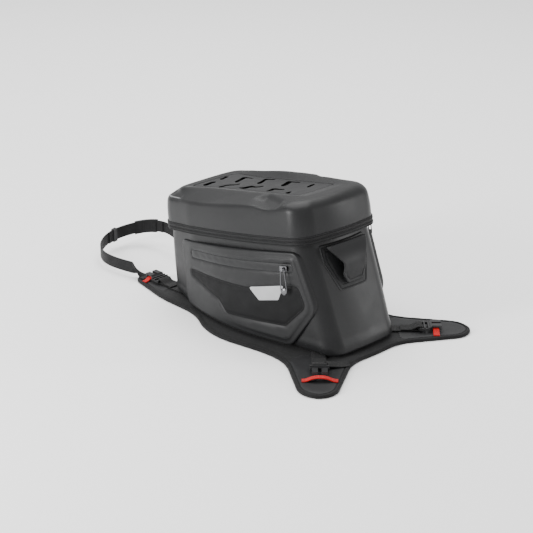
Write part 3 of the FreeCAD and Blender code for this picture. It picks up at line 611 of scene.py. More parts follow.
FLOOR = bpy.data.materials.new("floor")
FLOOR.use_nodes = True
floor_shader = FLOOR.node_tree.nodes["Principled BSDF"]
floor_shader.inputs["Roughness"].default_value = 0.85
floor_shader.inputs["Base Color"].default_value = (0.93, 0.93, 0.93, 1)
floor_mesh = bpy.data.meshes.new("floor")
floor_mesh.from_pydata([(-6, -6, 0), (6, -6, 0), (6, 6, 0), (-6, 6, 0)], [], [(0, 1, 2, 3)])
floor_mesh.materials.append(FLOOR)
floor = bpy.data.objects.new("floor", floor_mesh)
scene.collection.objects.link(floor)


# ---- bag body -------------------------------------------------------------------------------
def rulings(base, top, outwards):
    """Foot and head of the straight lines that make the body walls."""
    low = with_height(ring(offset_corners(mirror_half(base), outwards)), 0)
    high = from_zip(with_height(ring(offset_corners(mirror_half(top), outwards)), LOFT_REACH))
    return low, high


def above_zip(points):
    """Height of points above the tilted zip plane."""
    return points[:, 1] * SIN + (points[:, 2] - ZIP_HEIGHT) * COS


def at_level(lines, z):
    """Where the wall lines cross level z."""
    low, high = lines
    return low + (high - low) * (z / high[:, 2])[:, None]


def at_zip(lines, height):
    """Where the wall lines cross a height in the zip plane."""
    low, high = lines
    first = above_zip(low)
    return low + (high - low) * ((height - first) / (above_zip(high) - first))[:, None]


def wall_rows(base, top, outwards, z, height, steps, bulge=None):
    """Rings from level z up to a height in the zip plane."""
    rows = []
    for k in range(steps + 1):
        share = k / steps
        lines = rulings(base, top, outwards + (bulge(share) if bulge else 0))
        rows.append(at_level(lines, z) * (1 - share) + at_zip(lines, height) * share)
    return rows


def build_body():
    radius = 5.0
    rows = []
    for k in range(7):
        turn = math.pi / 2 * k / 6
        lines = rulings(BODY_BASE, BODY_TOP, -radius * (1 - math.sin(turn)))
        rows.append(at_level(lines, BAG_BASE + radius * (1 - math.cos(turn))))
    sides = wall_rows(BODY_BASE, BODY_TOP, 0, BAG_BASE + radius, -1.2, 44,
                      lambda s: 0.9 * math.sin(math.pi * s) - 0.9 * float(smooth(s, 0.06, 0.11))
                      + 0.9 * float(smooth(s, 0.0, 0.02)))
    rows += sides[1:]
    for inwards, height in ((-0.3, -0.5), (-1.0, -0.3), (-2.4, -0.3), (-3.0, -0.8)):
        rows.append(at_zip(rulings(BODY_BASE, BODY_TOP, inwards), height))
    rows.append(at_zip(rulings(BODY_BASE, BODY_TOP, -3.0), -14.0))
    points, faces = skin(rows, True, False)
    count = len(rows[0])
    inner = wall_rows(BODY_BASE, BODY_TOP, -3.0, BAG_BASE + 3.0, -14.0, 6)
    first = len(points)
    points = np.vstack([points] + inner)
    faces += [tuple(first + v for v in f) for f in tube_faces(len(inner), count)]
    faces.append(tuple(range(first, first + count)))
    last_outer = (len(rows) - 1) * count
    last_inner = first + (len(inner) - 1) * count
    faces += [(last_outer + i, last_outer + (i + 1) % count, last_inner + (i + 1) % count, last_inner + i)
              for i in range(count)]
    make("bag_body", points, faces, SHELL, slot="shell", replaces=("bag_shell",), sharp=50)


def swept_band(name, profile, body, node):
    """Sweep a profile of (outwards, height) round the zip line."""
    line = ring(mirror_half(BAND_LINE), 14, 30)
    ahead, out = closed_frame(line)
    rows = [from_zip(with_height(line + out * a, h)) for a, h in profile]
    count = len(line)
    faces = tube_faces(len(rows), count, closed_rows=True)
    return make(name, np.vstack(rows), faces, BAND_RUBBER, body=body, slot="zip_band", replaces=(node,),
                sharp=60)


def build_zip_bands():
    half = [(-5.6, 6.0), (-1.2, 6.0), (-0.3, 5.75), (0.0, 5.1), (-0.1, 4.5), (-0.55, 4.25), (-0.15, 3.95),
            (0.05, 3.3), (0.1, 2.4), (0.0, 1.7), (-0.45, 1.35), (-0.55, 0.9), (-0.9, 0.45), (-1.6, ZIP_GAP),
            (-5.6, ZIP_GAP)]
    swept_band("zip_band_top", half, "lid", "zip_band_upper")
    # The lower half runs in to the wall of the moulded shell.
    line = ring(mirror_half(BAND_LINE))
    ahead, out = closed_frame(line)
    rows = [at_zip(rulings(BODY_BASE, BODY_TOP, -0.6), -BAND)]
    rows += [from_zip(with_height(line + out * a, -h)) for a, h in half[1:-1]]
    rows.append(from_zip(with_height(line - out * 3.2, -ZIP_GAP)))
    rows.append(at_zip(rulings(BODY_BASE, BODY_TOP, -0.6), -0.7))
    faces = tube_faces(len(rows), len(line), closed_rows=True)
    make("zip_band_bottom", np.vstack(rows), faces, BAND_RUBBER, body="bag", slot="zip_band",
         replaces=("zip_band_lower",), sharp=60)
    # Teeth between the two lips, alternate ones on each half.
    line = even_outline(mirror_half(BAND_LINE), 1.5)
    ahead, out = closed_frame(line)
    for name, body, side in (("zip_teeth_top", "lid", 1), ("zip_teeth_bottom", "bag", -1)):
        points = []
        faces = []
        for k in range(0 if side > 0 else 1, len(line), 2):
            if line[k][1] > 103.5:
                continue
            corners = []
            for a in (-2.3, -0.75):
                for b in (-0.55, 0.55):
                    for h in (0.02, 0.62):
                        flat = line[k] + out[k] * a + ahead[k] * b
                        corners.append((flat[0], flat[1], side * h))
            first = len(points)
            points += [tuple(p) for p in from_zip(np.array(corners))]
            faces += [tuple(first + i for i in f) for f in (
                (0, 1, 3, 2), (4, 6, 7, 5), (0, 4, 5, 1), (2, 3, 7, 6), (1, 5, 7, 3), (0, 2, 6, 4))]
        make(name, points, faces, DARK_METAL, body=body, slot="zip_band", sharp=30)


# ---- lid ------------------------------------------------------------------------------------
# Ridge round the lid top and edge of the panel's recess, in the zip plane.
RIDGE = [(0, -179, 200), (46, -175, 18), (51, -84, 500), (52, 4, 300), (58, 64, 14), (0, 70, 300)]
RECESS = [(0, -167, 200), (38, -163, 10), (39, -84, 500), (40, 4, 300), (48, 54, 12), (0, 59, 300)]
# Finger scoops in the rear part of the side bevels, and cut corners at the front, on the left.
SCOOP = [(-62, -98, 12), (-88, -128, 14), (-84, -170, 12), (-58, -162, 12), (-46, -118, 12)]
FRONT_SCOOP = [(-50, 72, 10), (-66, 44, 8), (-104, 26, 6), (-104, 116, 6), (-62, 116, 6)]


def ridge_height(points):
    """The right ridge arches higher than the left one."""
    y = points[:, 1]
    left = 57.2 - 1.2 * smooth(y, 0, 50)
    right = 58.2 + 6.2 * bump(y, -60, 70) - 1.4 * smooth(y, 20, 60)
    level = left + (right - left) * smooth(points[:, 0], -20, 40)
    return level + (54.6 - level) * smooth(-y, 158, 180)


def side_height(points):
    """The side edge climbs from the front corners to the rear ones."""
    y = points[:, 1]
    climb = 40.6 + 5.2 * smooth(-y, -10, 110) + 4.6 * smooth(-y, 140, 198)
    return climb + 2.5 * smooth(points[:, 0], 0, 80) * (1 - smooth(-y, 140, 198))


def dish(points, outline, depth, lip_width, low, high, push):
    """Press one hollow, and its mirror image, into points of the lid, along (across, down)."""
    flat = np.column_stack([points[:, 0], points[:, 1] * COS - (points[:, 2] - ZIP_HEIGHT) * SIN])
    height = above_zip(points)
    edge = even_outline(outline, 3.0)
    for side in (1, -1):
        into = inside_distance(flat * np.array([side, 1]), edge)
        sink = depth * smooth(into, 0, lip_width) * smooth(height, low, high)
        points[:, 0] += side * sink * push[0]
        points[:, 2] -= sink * push[1]


def build_lid():
    def trace(corners, inwards=0.0):
        return ring(offset_corners(corners, -inwards), 12, 34)

    band = mirror_half(BAND_LINE)
    ridge_line = mirror_half(RIDGE)
    recess_line = mirror_half(RECESS)
    low = trace(band, 1.6)
    high = trace(band, 5.0)
    ridge = trace(ridge_line)
    foot = with_height(low, BAND - 0.4)
    corner = with_height(high, side_height(high))
    crown = with_height(ridge, ridge_height(ridge))
    rear = smooth(-high[:, 1], 150, 202)[:, None]
    start = corner + (foot - corner) * (0.11 + 0.22 * rear)
    end = corner + (crown - corner) * (0.10 + 0.55 * rear)
    out = (foot - np.array([0, -50, 0])) * np.array([1, 1, 0])
    out /= np.linalg.norm(out, axis=1)[:, None]
    swell = 1.1 * math.sin(math.pi * 0.8)
    rows = [with_height(trace(band, 3.5), BAND - 0.4), foot]
    for share in np.linspace(0, 1, 15)[1:]:
        rows.append(foot + (start - foot) * share + out * 1.1 * math.sin(math.pi * share * 0.8))
    lifted = start + out * swell
    for share in np.linspace(0, 1, 13)[1:]:
        rows.append(lifted * (1 - share) ** 2 + corner * 2 * share * (1 - share) + end * share ** 2)
    # Bevel, rounded ridge, and the gentle fall to the recess.
    rim = trace(recess_line)
    slope = with_height(rim, 54.4)
    outer = end + (crown - end) * 0.78
    inner = crown + (slope - crown) * 0.3
    for share in np.linspace(0, 1, 20)[1:]:
        rows.append(end + (outer - end) * share)
    for share in np.linspace(0, 1, 11)[1:]:
        rows.append(outer * (1 - share) ** 2 + crown * 2 * share * (1 - share) + inner * share ** 2)
    for share in np.linspace(0, 1, 6)[1:]:
        rows.append(inner + (slope - inner) * share)
    rows.append(with_height(trace(recess_line, 0.7), 54.0))
    rows.append(with_height(trace(recess_line, 1.0), RECESS_FLOOR + 0.4))
    rows.append(with_height(trace(recess_line, 3.5), RECESS_FLOOR))
    points = np.vstack([from_zip(row) for row in rows])
    dish(points, SCOOP, 5.6, 13.0, 34.0, 46.0, (0.35, 0.75))
    dish(points, FRONT_SCOOP, 4.6, 13.0, 34.0, 57.0, (1.5, 0.25))
    count = len(low)
    faces = tube_faces(len(rows), count)
    crest = mirror_half(LID_CREST_LINE)
    inside = [with_height(trace(line, inwards), height) for line, inwards, height in (
        (band, 3.6, BAND - 0.4), (band, 6.0, 20.0), (band, 8.0, 36.0), (crest, 1.8, 46.4))]
    first = len(points)
    points = np.vstack([points] + [from_zip(row) for row in inside])
    faces += [tuple(first + v for v in f) for f in tube_faces(len(inside), count)]
    faces.append(tuple(first + (len(inside) - 1) * count + i for i in range(count)))
    faces += [(i, (i + 1) % count, first + (i + 1) % count, first + i) for i in range(count)]
    make("lid_body", points, faces, SHELL, body="lid", slot="shell", replaces=("lid_shell",), sharp=55)


# Slots of the lid panel: corners of each outline in the zip plane, rounded off when cut.
SLOTS = [
    [(10, 50), (13, 49), (19, 52), (25, 53), (26, 50), (22, 46), (18, 46), (14, 44), (8, 42), (5, 43)],
    [(3, 9), (10, 12), (18, 15), (26, 19), (29, 20), (31, 17), (30, 9), (29, -2), (27, -3), (27, 3),
     (27, 9), (24, 11), (18, 8), (10, 5), (2, 2), (-2, 3)],
    [(8, -34), (13, -33), (21, -30), (29, -26), (31, -25), (33, -27), (33, -32), (35, -35), (35, -41),
     (33, -46), (31, -44), (30, -40), (30, -35), (27, -33), (22, -34), (14, -39), (7, -42), (3, -42),
     (3, -39)],
    [(8, -83), (14, -82), (21, -78), (28, -75), (31, -74), (31, -77), (31, -84), (31, -90), (33, -91),
     (33, -96), (31, -98), (29, -98), (28, -94), (28, -89), (27, -85), (22, -86), (15, -90), (9, -92),
     (4, -92), (3, -89)],
    [(12, -131), (18, -129), (24, -127), (28, -127), (29, -128), (25, -132), (20, -133), (13, -135),
     (9, -135)],
    [(-30, 43), (-24, 44), (-14, 46), (-9, 45), (-8, 40), (-13, 36), (-18, 37), (-25, 35), (-31, 33),
     (-34, 36)],
    [(-33, 6), (-29, 7), (-25, 5), (-19, 5), (-15, 0), (-13, -8), (-6, -10), (-9, -14), (-16, -11),
     (-20, -4), (-24, 0), (-29, -1), (-32, -1), (-34, 2)],
    [(-27, -30), (-24, -34), (-20, -37), (-16, -38), (-11, -39), (-11, -44), (-13, -52), (-10, -57),
     (-5, -59), (-9, -63), (-14, -60), (-17, -55), (-18, -49), (-21, -47), (-26, -47), (-29, -46),
     (-29, -40)],
    [(-29, -90), (-23, -90), (-17, -88), (-13, -87), (-11, -92), (-13, -100), (-11, -108), (-14, -111),
     (-16, -105), (-17, -98), (-19, -95), (-24, -97), (-28, -95)],
    [(-28, -128), (-25, -128), (-21, -128), (-19, -131), (-25, -134), (-29, -136), (-30, -135)],
]


def rounded(corners, outwards):
    """A closed clockwise outline with its corners cut three times over, then moved outwards."""
    points = np.asarray(corners, float)
    for _ in range(3):
        after = np.roll(points, -1, axis=0)
        points = np.column_stack([points * 0.78 + after * 0.22, points * 0.22 + after * 0.78]).reshape(-1, 2)
    return points - closed_frame(points)[1] * outwards


def build_lid_panel():
    corners = mirror_half(RECESS)
    edge = moved_in(corners, 1.2, 3.0)
    guides = [moved_in(corners, d, 3.2) for d in (2.0, 3.2, 4.4, 5.6)]
    holes = [evenly(rounded(slot, 0.8), 1.1) for slot in SLOTS]

    def solid(places):
        return np.all([inside_distance(places, hole) < 0 for hole in holes], axis=0)

    points, faces = fill(edge, guides + holes, 3.6, solid)
    into = inside_distance(points, edge)
    near_hole = np.min([np.abs(inside_distance(points, hole)) for hole in holes], axis=0)
    height = PANEL_TOP - 0.9 * (1 - smooth(into, 0, 1.2)) - 0.5 * bump(into, 3.2, 0.8)
    height -= 0.7 * bump(near_hole, 0, 1.6)
    top = from_zip(with_height(points, height))
    bottom = from_zip(with_height(points, height - PANEL_THICK))
    panel = make("lid_top_panel", *slab(top, bottom, faces), PANEL, body="lid", slot="slot_panel",
                 replaces=("lid_slot_panel",), sharp=40)
    # The slot walls take the near-black backing material as painted shade inside the slots; the outer edge keeps
    # the panel material.
    panel.data.materials.append(BACKING_AND_SLOT_SHADE)
    walls = panel.data.polygons[2 * len(faces):]
    for face, pair in zip(walls, boundary_loop(faces)):
        face.material_index = int(into[pair[0]] > 1.5)


# ---- side pockets ---------------------------------------------------------------------------
def wall_tree(base, top, outwards):
    """The wall as a surface that rays can be cast at."""
    rows = []
    low = with_height(ring(offset_corners(mirror_half(base), outwards), 16, 30), 0)
    high = from_zip(with_height(ring(offset_corners(mirror_half(top), outwards), 16, 30), LOFT_REACH))
    for share in np.linspace(0, 1.1, 60):
        rows.append(low + (high - low) * share)
    points, faces = skin(rows)
    return BVHTree.FromPolygons([tuple(p) for p in points], faces)


def side_face(tree, flat):
    """X of the right-hand wall at each (y, z)."""
    out = np.zeros(len(flat))
    for k, (y, z) in enumerate(flat):
        hit = tree.ray_cast(Vector((300, y, z)), Vector((-1, 0, 0)))
        out[k] = hit[0].x if hit[0] else 0
    return out


BODY_TREE = wall_tree(BODY_BASE, BODY_TOP, 0)
POCKET_TREE = wall_tree(POCKET_BASE, POCKET_TOP, 0)


def mirrored(points, side):
    return points * np.array([side, 1, 1])


def build_pockets():
    edge = even_outline(POCKET_EDGE, 2.5)
    zip_line = even_outline(POCKET_ZIP, 2.2)
    inset_line = even_outline(POCKET_INSET, 2.2)

    def loops(corners, distances, spacing):
        return [moved_in(corners, d, spacing) for d in distances]

    guides = loops(POCKET_EDGE, (0.5, 1.2, 2.2, 3.6, 6.6, 8.0, 9.4), 2.8)
    guides += loops(POCKET_ZIP, (-1.6, -0.8, 0.0, 0.8), 2.4)
    guides += loops(POCKET_INSET, (-1.2, 0.0, 1.0), 2.4)
    flat, faces = fill(edge, guides, 4.5)
    d_edge = inside_distance(flat, edge)
    d_zip = inside_distance(flat, zip_line)
    d_inset = inside_distance(flat, inset_line)
    out = side_face(POCKET_TREE, flat)
    body = side_face(BODY_TREE, flat)
    rear = smooth(-flat[:, 0], 40, 150)
    cover = out - quarter_round(d_edge, 2.4)
    cover -= 1.3 * rear * (1 - smooth(d_edge, 6.6, 9.4))
    cover += 0.35 * bump(d_edge, 5.0, 1.3)
    cover -= 1.5 * smooth(d_zip, -1.4, 0.2)
    cover += 0.45 * bump(d_zip, -3.0, 1.5)
    cover -= 0.9 * smooth(d_inset, -1.0, 0.2)
    cover += 0.35 * bump(d_inset, -2.6, 1.5)
    on_edge = d_edge < 0.05
    cover = np.where(on_edge, np.minimum(body - 0.6, cover), np.maximum(cover, body + 0.15))
    shape = np.column_stack([cover, flat])
    back = np.column_stack([np.minimum(body - 1.2, cover - 0.5), flat])

    zip_guides = loops(POCKET_ZIP, (0.5, 1.0, 2.0, 3.0, 4.2, 5.0), 1.6)
    zip_flat, zip_faces = fill(moved_in(POCKET_ZIP, 0.25, 1.8), zip_guides, 3.0)
    axis = np.array([(-181.0, 123.5), (22.0, 91.5)])
    run = (axis[1] - axis[0]) / np.linalg.norm(axis[1] - axis[0])
    rel = zip_flat - axis[0]
    off_axis = rel[:, 0] * -run[1] + rel[:, 1] * run[0]
    d_tape = inside_distance(zip_flat, zip_line)
    tape = side_face(POCKET_TREE, zip_flat) - 0.55
    tape += 0.55 * smooth(d_tape, 0.2, 1.2) - 0.5 * bump(off_axis, 0, 0.8)
    tape += 0.25 * bump(np.abs(off_axis), 2.0, 0.8)
    zip_top = np.column_stack([tape, zip_flat])
    zip_back = np.column_stack([tape - 1.4, zip_flat])

    cloth_flat, cloth_faces = fill(moved_in(POCKET_INSET, 0.3, 2.2),
                                   loops(POCKET_INSET, (1.2, 2.4, 3.6), 2.6), 5.0)
    d_cloth = inside_distance(cloth_flat, inset_line)
    cloth = side_face(POCKET_TREE, cloth_flat) - 0.75 + 0.55 * smooth(d_cloth, 0.2, 5.0)
    cloth -= 0.35 * bump(d_cloth, 2.4, 0.6)
    waves = np.sin(cloth_flat[:, 0] * 0.11) * np.sin(cloth_flat[:, 1] * 0.16 + 1.0)
    cloth += 0.25 * waves * smooth(d_cloth, 3, 14)
    cloth_top = np.column_stack([cloth, cloth_flat])
    cloth_back = np.column_stack([cloth - 1.0, cloth_flat])

    film_flat, film_faces = fill(even_outline(REFLECTOR, 1.6), loops(REFLECTOR, (0.5,), 1.8), 3.0)
    film = side_face(POCKET_TREE, film_flat) + 0.18
    film -= 0.18 * (1 - smooth(inside_distance(film_flat, even_outline(REFLECTOR, 1.6)), 0, 0.5))
    film_top = np.column_stack([film, film_flat])
    film_back = np.column_stack([film - 0.7, film_flat])
    seam = moved_in(POCKET_INSET, 2.4, 1.5)
    seam = np.vstack([seam, seam[:1]])
    seam_x = side_face(POCKET_TREE, seam) - 0.80

    for name, side in (("left", -1), ("right", 1)):
        for piece, node, layer, material, slot_name, sharp in (
            ("pocket_cover_", "pocket_", (shape, back, faces), POCKET, "shell", 50),
            ("pocket_zip_tape_", "pocket_zip_", (zip_top, zip_back, zip_faces), ZIP_TAPE, "zip_tape", 50),
            ("pocket_cloth_", "pocket_inset_", (cloth_top, cloth_back, cloth_faces), INSET, "inset_cloth", 50),
            ("reflective_patch_", "reflector_", (film_top, film_back, film_faces), REFLECTIVE, "reflective", 40),
        ):
            points, closed = slab(*layer)
            make(piece + name, mirrored(points, side), closed, material, slot=slot_name,
                 replaces=(node + name,), sharp=sharp)
        line = mirrored(np.column_stack([seam_x, seam]), side)
        points, closed = stitches(line, np.tile([side, 0.0, 0.0], (len(line), 1)), 2.0, 3.4, 0.26, 0.05)
        make("pocket_stitches_" + name, points, closed, BLACK_THREAD, slot="inset_cloth")


# ---- rear patch and grab handle -------------------------------------------------------------
def rear_wall(z):
    low = BODY_BASE[0][1]
    top_y = BODY_TOP[0][1] * COS + LOFT_REACH * SIN
    top_z = ZIP_HEIGHT - BODY_TOP[0][1] * SIN + LOFT_REACH * COS
    return low + (top_y - low) * np.asarray(z, float) / top_z


def rear_face(flat):
    """Y of the rear wall at each (x, z)."""
    out = np.zeros(len(flat))
    for k, (x, z) in enumerate(flat):
        hit = BODY_TREE.ray_cast(Vector((x, -400, z)), Vector((0, 1, 0)))
        out[k] = hit[0].y if hit[0] else rear_wall(z)
    return out


def build_handle():
    outline = even_outline(PATCH_EDGE, 1.8)
    guides = [moved_in(PATCH_EDGE, d, 2.0) for d in (0.5, 1.2, 3.0, 3.8, 4.6, 8.0, 9.0, 10.0)]
    flat, faces = fill(outline, guides, 3.5)
    into = inside_distance(flat, outline)
    wall = rear_face(flat)
    stand = 1.7 * smooth(into, -0.01, 1.4)
    stand += 0.5 * bump(into, 2.0, 0.8) - 1.0 * bump(into, 3.8, 0.7)
    stand += 0.5 * bump(into, 6.2, 1.2) - 1.0 * bump(into, 9.0, 0.8)
    stand -= 1.1 * smooth(into, 10.0, 14.0)
    top_cut = from_zip([[0, -199, -7.0]])[0][2]
    flat[:, 1] = np.minimum(flat[:, 1], top_cut)
    front = np.column_stack([flat[:, 0], wall - stand, flat[:, 1]])
    back = np.column_stack([flat[:, 0], wall + 0.8, flat[:, 1]])
    make("rear_patch", *slab(front, back, faces), HANDLE,
         slot="handle_rubber", replaces=("handle_patch",), sharp=50)

    edge = even_outline(HANDLE_EDGE, 1.6)
    guides = [moved_in(HANDLE_EDGE, d, 1.9) for d in (0.4, 0.9, 1.6, 3.2, 4.0, 4.8)]
    flat, faces = fill(edge, guides, 3.0)
    into = inside_distance(flat, edge)
    heights = np.array(HANDLE_LINE)[::-1]
    profile = spline(np.column_stack([rear_wall(heights[:, 0]) - heights[:, 1], heights[:, 0]]), 80)
    z = np.clip(flat[:, 1], 98.0, 151.5)
    inside_y = np.interp(z, profile[:, 1], profile[:, 0])
    crown = 1.2 * (1 - (flat[:, 0] / 40) ** 2)
    rounding = quarter_round(into, 1.3)
    groove = 0.55 * bump(into, 4.0, 0.6) * smooth(118 - flat[:, 1], 0, 6)
    ribs = 0.22 * np.sin(flat[:, 1] * 2.2) * smooth(into, 5.0, 6.0)
    ribs = ribs * smooth(129 - flat[:, 1], 0, 3) * smooth(flat[:, 1] - 112, 0, 3)
    outer_y = inside_y - 2.6 - 0.6 * crown + rounding + groove - ribs
    inner_y = inside_y - 0.6 * crown - 0.6 * rounding
    front = np.column_stack([flat[:, 0], outer_y, np.minimum(flat[:, 1], 151.4)])
    back = np.column_stack([flat[:, 0], inner_y, np.minimum(flat[:, 1], 151.4)])
    make("rear_handle", *slab(front, back, faces), HANDLE,
         slot="handle_rubber", replaces=("grab_handle",), sharp=50)


# ---- harness --------------------------------------------------------------------------------
def build_harness():
    outline = mirror_half(HARNESS)
    edge = moved_in(outline, 1.0, 4.0)
    guides = [moved_in(outline, d, 4.5) for d in (2.0, 4.0, 6.0, 8.5, 12.0)]
    flat, faces = fill(edge, guides, 7.0)
    into = inside_distance(flat, edge)
    under_bag = smooth(inside_distance(flat, moved_in(mirror_half(BODY_BASE), -6, 4.0)), -14, 0)
    puff = (0.75 * bump(into, 9.0, 3.2) - 0.5 * bump(into, 5.2, 1.0)) * (1 - under_bag)
    ripple = 0.22 * np.sin(flat[:, 0] * 0.09 + 1.3) * np.sin(flat[:, 1] * 0.07) * (1 - under_bag)
    top = np.column_stack([flat, PAD_TOP - 1.2 * (1 - smooth(into, 0, 2.0)) + puff * 0.8 + ripple])
    bottom = np.column_stack([flat, 1.0 + 0.8 * (1 - smooth(into, 0, 2.0))])
    pad = make("harness_sheet", *slab(top, bottom, faces), HARNESS_CLOTH, slot="harness_cloth",
               replaces=("harness_pad",), sharp=60)

    line = even_outline(outline, 3.0)
    ahead, out = closed_frame(line)
    profile = [(-5.0, 4.3), (-4.8, 4.95), (-4.0, 5.1), (-2.4, 5.15), (-1.0, 4.8), (-0.2, 3.9), (0.0, 2.6),
               (-0.2, 1.2), (-0.9, 0.4), (-2.2, 0.1), (-4.6, 0.12), (-5.0, 0.5), (-4.9, 0.95),
               (-1.2, 1.1), (-1.05, 4.3)]
    wobble = 0.12 * np.sin(np.arange(len(line)) * 0.9) + 0.08 * np.sin(np.arange(len(line)) * 2.3)
    rows = []
    for a, h in profile:
        rows.append(np.column_stack([line + out * a, h + (wobble if h > 4 else 0 * wobble)]))
    faces = tube_faces(len(rows), len(line), closed_rows=True)
    make("harness_edge", np.vstack(rows), faces, BINDING, slot="edge_binding",
         replaces=("harness_binding",), sharp=60)
    seam = np.column_stack([line - out * 3.9, np.full(len(line), 5.12)])
    seam = np.vstack([seam, seam[:1]])
    points, closed = stitches(seam, np.tile(UP, (len(seam), 1)), 2.6, 4.0, 0.3, 0.0)
    make("harness_stitches", points, closed, BLACK_THREAD, slot="edge_binding")

    clear = moved_in(mirror_half(BODY_BASE), -7.5, 4.0)
    inner = moved_in(outline, BINDING_WIDTH + 1.8, 3.0)
    for name, side, near, far, inner_x in (
        ("rear_left", -1, -400, -205, 60), ("rear_right", 1, -400, -205, 60),
        ("front_left", -1, 106, 300, 22), ("front_right", 1, 106, 300, 22),
    ):
        low_x, high_x = inner_x * side, 200 * side
        window = np.array([(low_x, near), (high_x, near), (high_x, far), (low_x, far)], float)

        def on_wing(places):
            return (inside_distance(places, window) > 0) & (inside_distance(places, clear) < 0)

        grid, parts = fill(inner, [], 3.5, on_wing)
        used = sorted({i for f in parts for i in f})
        order = {old: new for new, old in enumerate(used)}
        parts = [tuple(order[i] for i in f) for f in parts]
        grid = grid[used]
        rim = {i for pair in boundary_loop(parts) for i in pair}
        on_rim = np.array([i in rim for i in range(len(grid))])
        level = WING_PANEL_TOP + 0.15 * np.sin(grid[:, 0] * 0.2)
        top = np.column_stack([grid, np.where(on_rim, 4.85, level)])
        bottom = with_height(grid, PAD_TOP - 0.3)
        make("wing_sheet_" + name, *slab(top, bottom, parts), WING, slot="wing_panel",
             replaces=("wing_panel_" + name,), sharp=60)


# ---- red loops, webbing, strap --------------------------------------------------------------
def turned(points, x, y, degrees):
    """Drawn with +X outwards from the bag, turned to a corner's direction."""
    a = math.radians(degrees)
    points = np.asarray(points, float)
    return np.column_stack([
        x + points[:, 0] * math.cos(a) - points[:, 1] * math.sin(a),
        y + points[:, 0] * math.sin(a) + points[:, 1] * math.cos(a),
        points[:, 2],
    ])


def build_corners():
    for name, x, y, degrees, gap, length in HOOKS:
        low = WING_PANEL_TOP + 0.1 + LOOP_THICK / 2
        high = low + LOOP_RISE
        foot = length * 0.4
        side = [(-length / 2, low), (-foot, low + 0.3), (-length * 0.24, high - 1.9), (0, high),
                (length * 0.24, high - 1.9), (foot, low + 0.3), (length / 2, low)]
        flat = spline(side, 60)
        line = np.column_stack([np.zeros(len(flat)), flat[:, 0], flat[:, 1]])
        across = np.tile([1.0, 0.0, 0.0], (len(line), 1))
        points, faces, uvs = ribbon(line, across, LOOP_WIDTH, 1.7)
        make("red_loop_" + name + "_webbing", turned(points, x, y, degrees), faces, RED_CLOTH,
             slot="red_webbing", replaces=("red_loop_" + name,), uvs=uvs, sharp=50)
        thread = []
        threads = []
        for end in (-1, 1):
            for u in (-3.0, 3.0):
                seam = np.array([(u, end * (length / 2 - 0.3), low + 0.95),
                                 (u, end * (length / 2 - 5.0), low + 1.0)])
                p, f = stitches(seam, np.tile(UP, (2, 1)), 1.5, 2.2, 0.26, 0.0)
                threads += [tuple(len(thread) + i for i in g) for g in f]
                thread += list(p)
        make("red_loop_stitches_" + name, turned(thread, x, y, degrees), threads, RED_THREAD,
             slot="red_webbing")

        pivot = PIVOT - gap
        bar = 2.0 + 0.25 + WEBBING_THICK / 2
        path = [(pivot - 54, TAB_FLAT), (pivot - 34, TAB_FLAT), (pivot - 14, TAB_FLAT),
                (pivot - 7, TAB_FLAT + 0.9)]
        for turn in np.linspace(-95, 100, 9):
            a = math.radians(turn)
            path.append((pivot + bar * math.cos(a), PIVOT_HEIGHT + bar * math.sin(a)))
        path += [(pivot - 7, 11.0), (pivot - 13, 8.4), (pivot - 20, 8.0), (pivot - 28, 7.95)]
        flat = spline(path, 110)
        line = np.column_stack([flat[:, 0], np.zeros(len(flat)), flat[:, 1]])
        across = np.tile([0.0, 1.0, 0.0], (len(line), 1))
        points, faces, uvs = ribbon(line, across, WEBBING, WEBBING_THICK)
        make("webbing_" + name, turned(points, x, y, degrees), faces, WEBBING_CLOTH, slot="webbing",
             replaces=("webbing_tab_" + name,), uvs=uvs, sharp=50)

    tail = spline([(-2, 9.8), (5, 8.6), (13, 6.9), (22, 6.3), (29, 6.5)], 50)
    line = np.column_stack([tail[:, 0], 1.2 * np.sin(tail[:, 0] / 16), tail[:, 1]])
    across = np.tile([0.0, 1.0, 0.0], (len(line), 1))
    points, faces, uvs = ribbon(line, across, WEBBING - 2, WEBBING_THICK)
    make("webbing_loose_end", turned(points, -84.0, -258.0, -28.0), faces, WEBBING_CLOTH, slot="webbing",
         replaces=("webbing_tail",), uvs=uvs, sharp=50)


def strap_part(name, node, start, end, outwards):
    """A run of the front strap between two shares of its length."""
    line = spline(STRAP_LINE, 400)
    line = line[int(400 * start):int(400 * end) + 1]
    along = np.gradient(line, axis=0)
    normal = unit(np.column_stack([-along[:, 1], along[:, 0], np.zeros(len(line))]))
    line = line + normal * outwards
    across = np.tile(UP, (len(line), 1))
    points, faces, uvs = ribbon(line, across, STRAP_HEIGHT, WEBBING_THICK)
    make(name, points, faces, WEBBING_CLOTH, slot="webbing", replaces=(node,), uvs=uvs, sharp=50)


def build_strap():
    strap_part("strap_webbing", "front_strap", 0.0, 1.0, 0.0)
    strap_part("strap_doubled_end", "strap_tail", 0.44, 0.79, -1.8)
    for name, side in (("left", -1), ("right", 1)):
        line = []
        across = []
        for share in np.concatenate([[-0.75, -0.5, -0.25], np.linspace(0, 1, 25)]):
            s = max(share, 0)
            turn = math.pi / 2 * s
            clear = 5.6 + 0.4 * s
            rise = 9.5 * math.sin(turn) + 0.8 * math.cos(turn)
            line.append((side * (52 + 4 * s), 168 + 24 * s + min(share, 0) * 12, clear + rise))
            across.append((side * math.cos(turn), 0, math.sin(turn)))
        points, faces, uvs = ribbon(line, across, STRAP_HEIGHT, WEBBING_THICK)
        make("strap_sewn_end_" + name, points, faces, WEBBING_CLOTH, slot="webbing",
             replaces=("strap_end_" + name,), uvs=uvs, sharp=50)


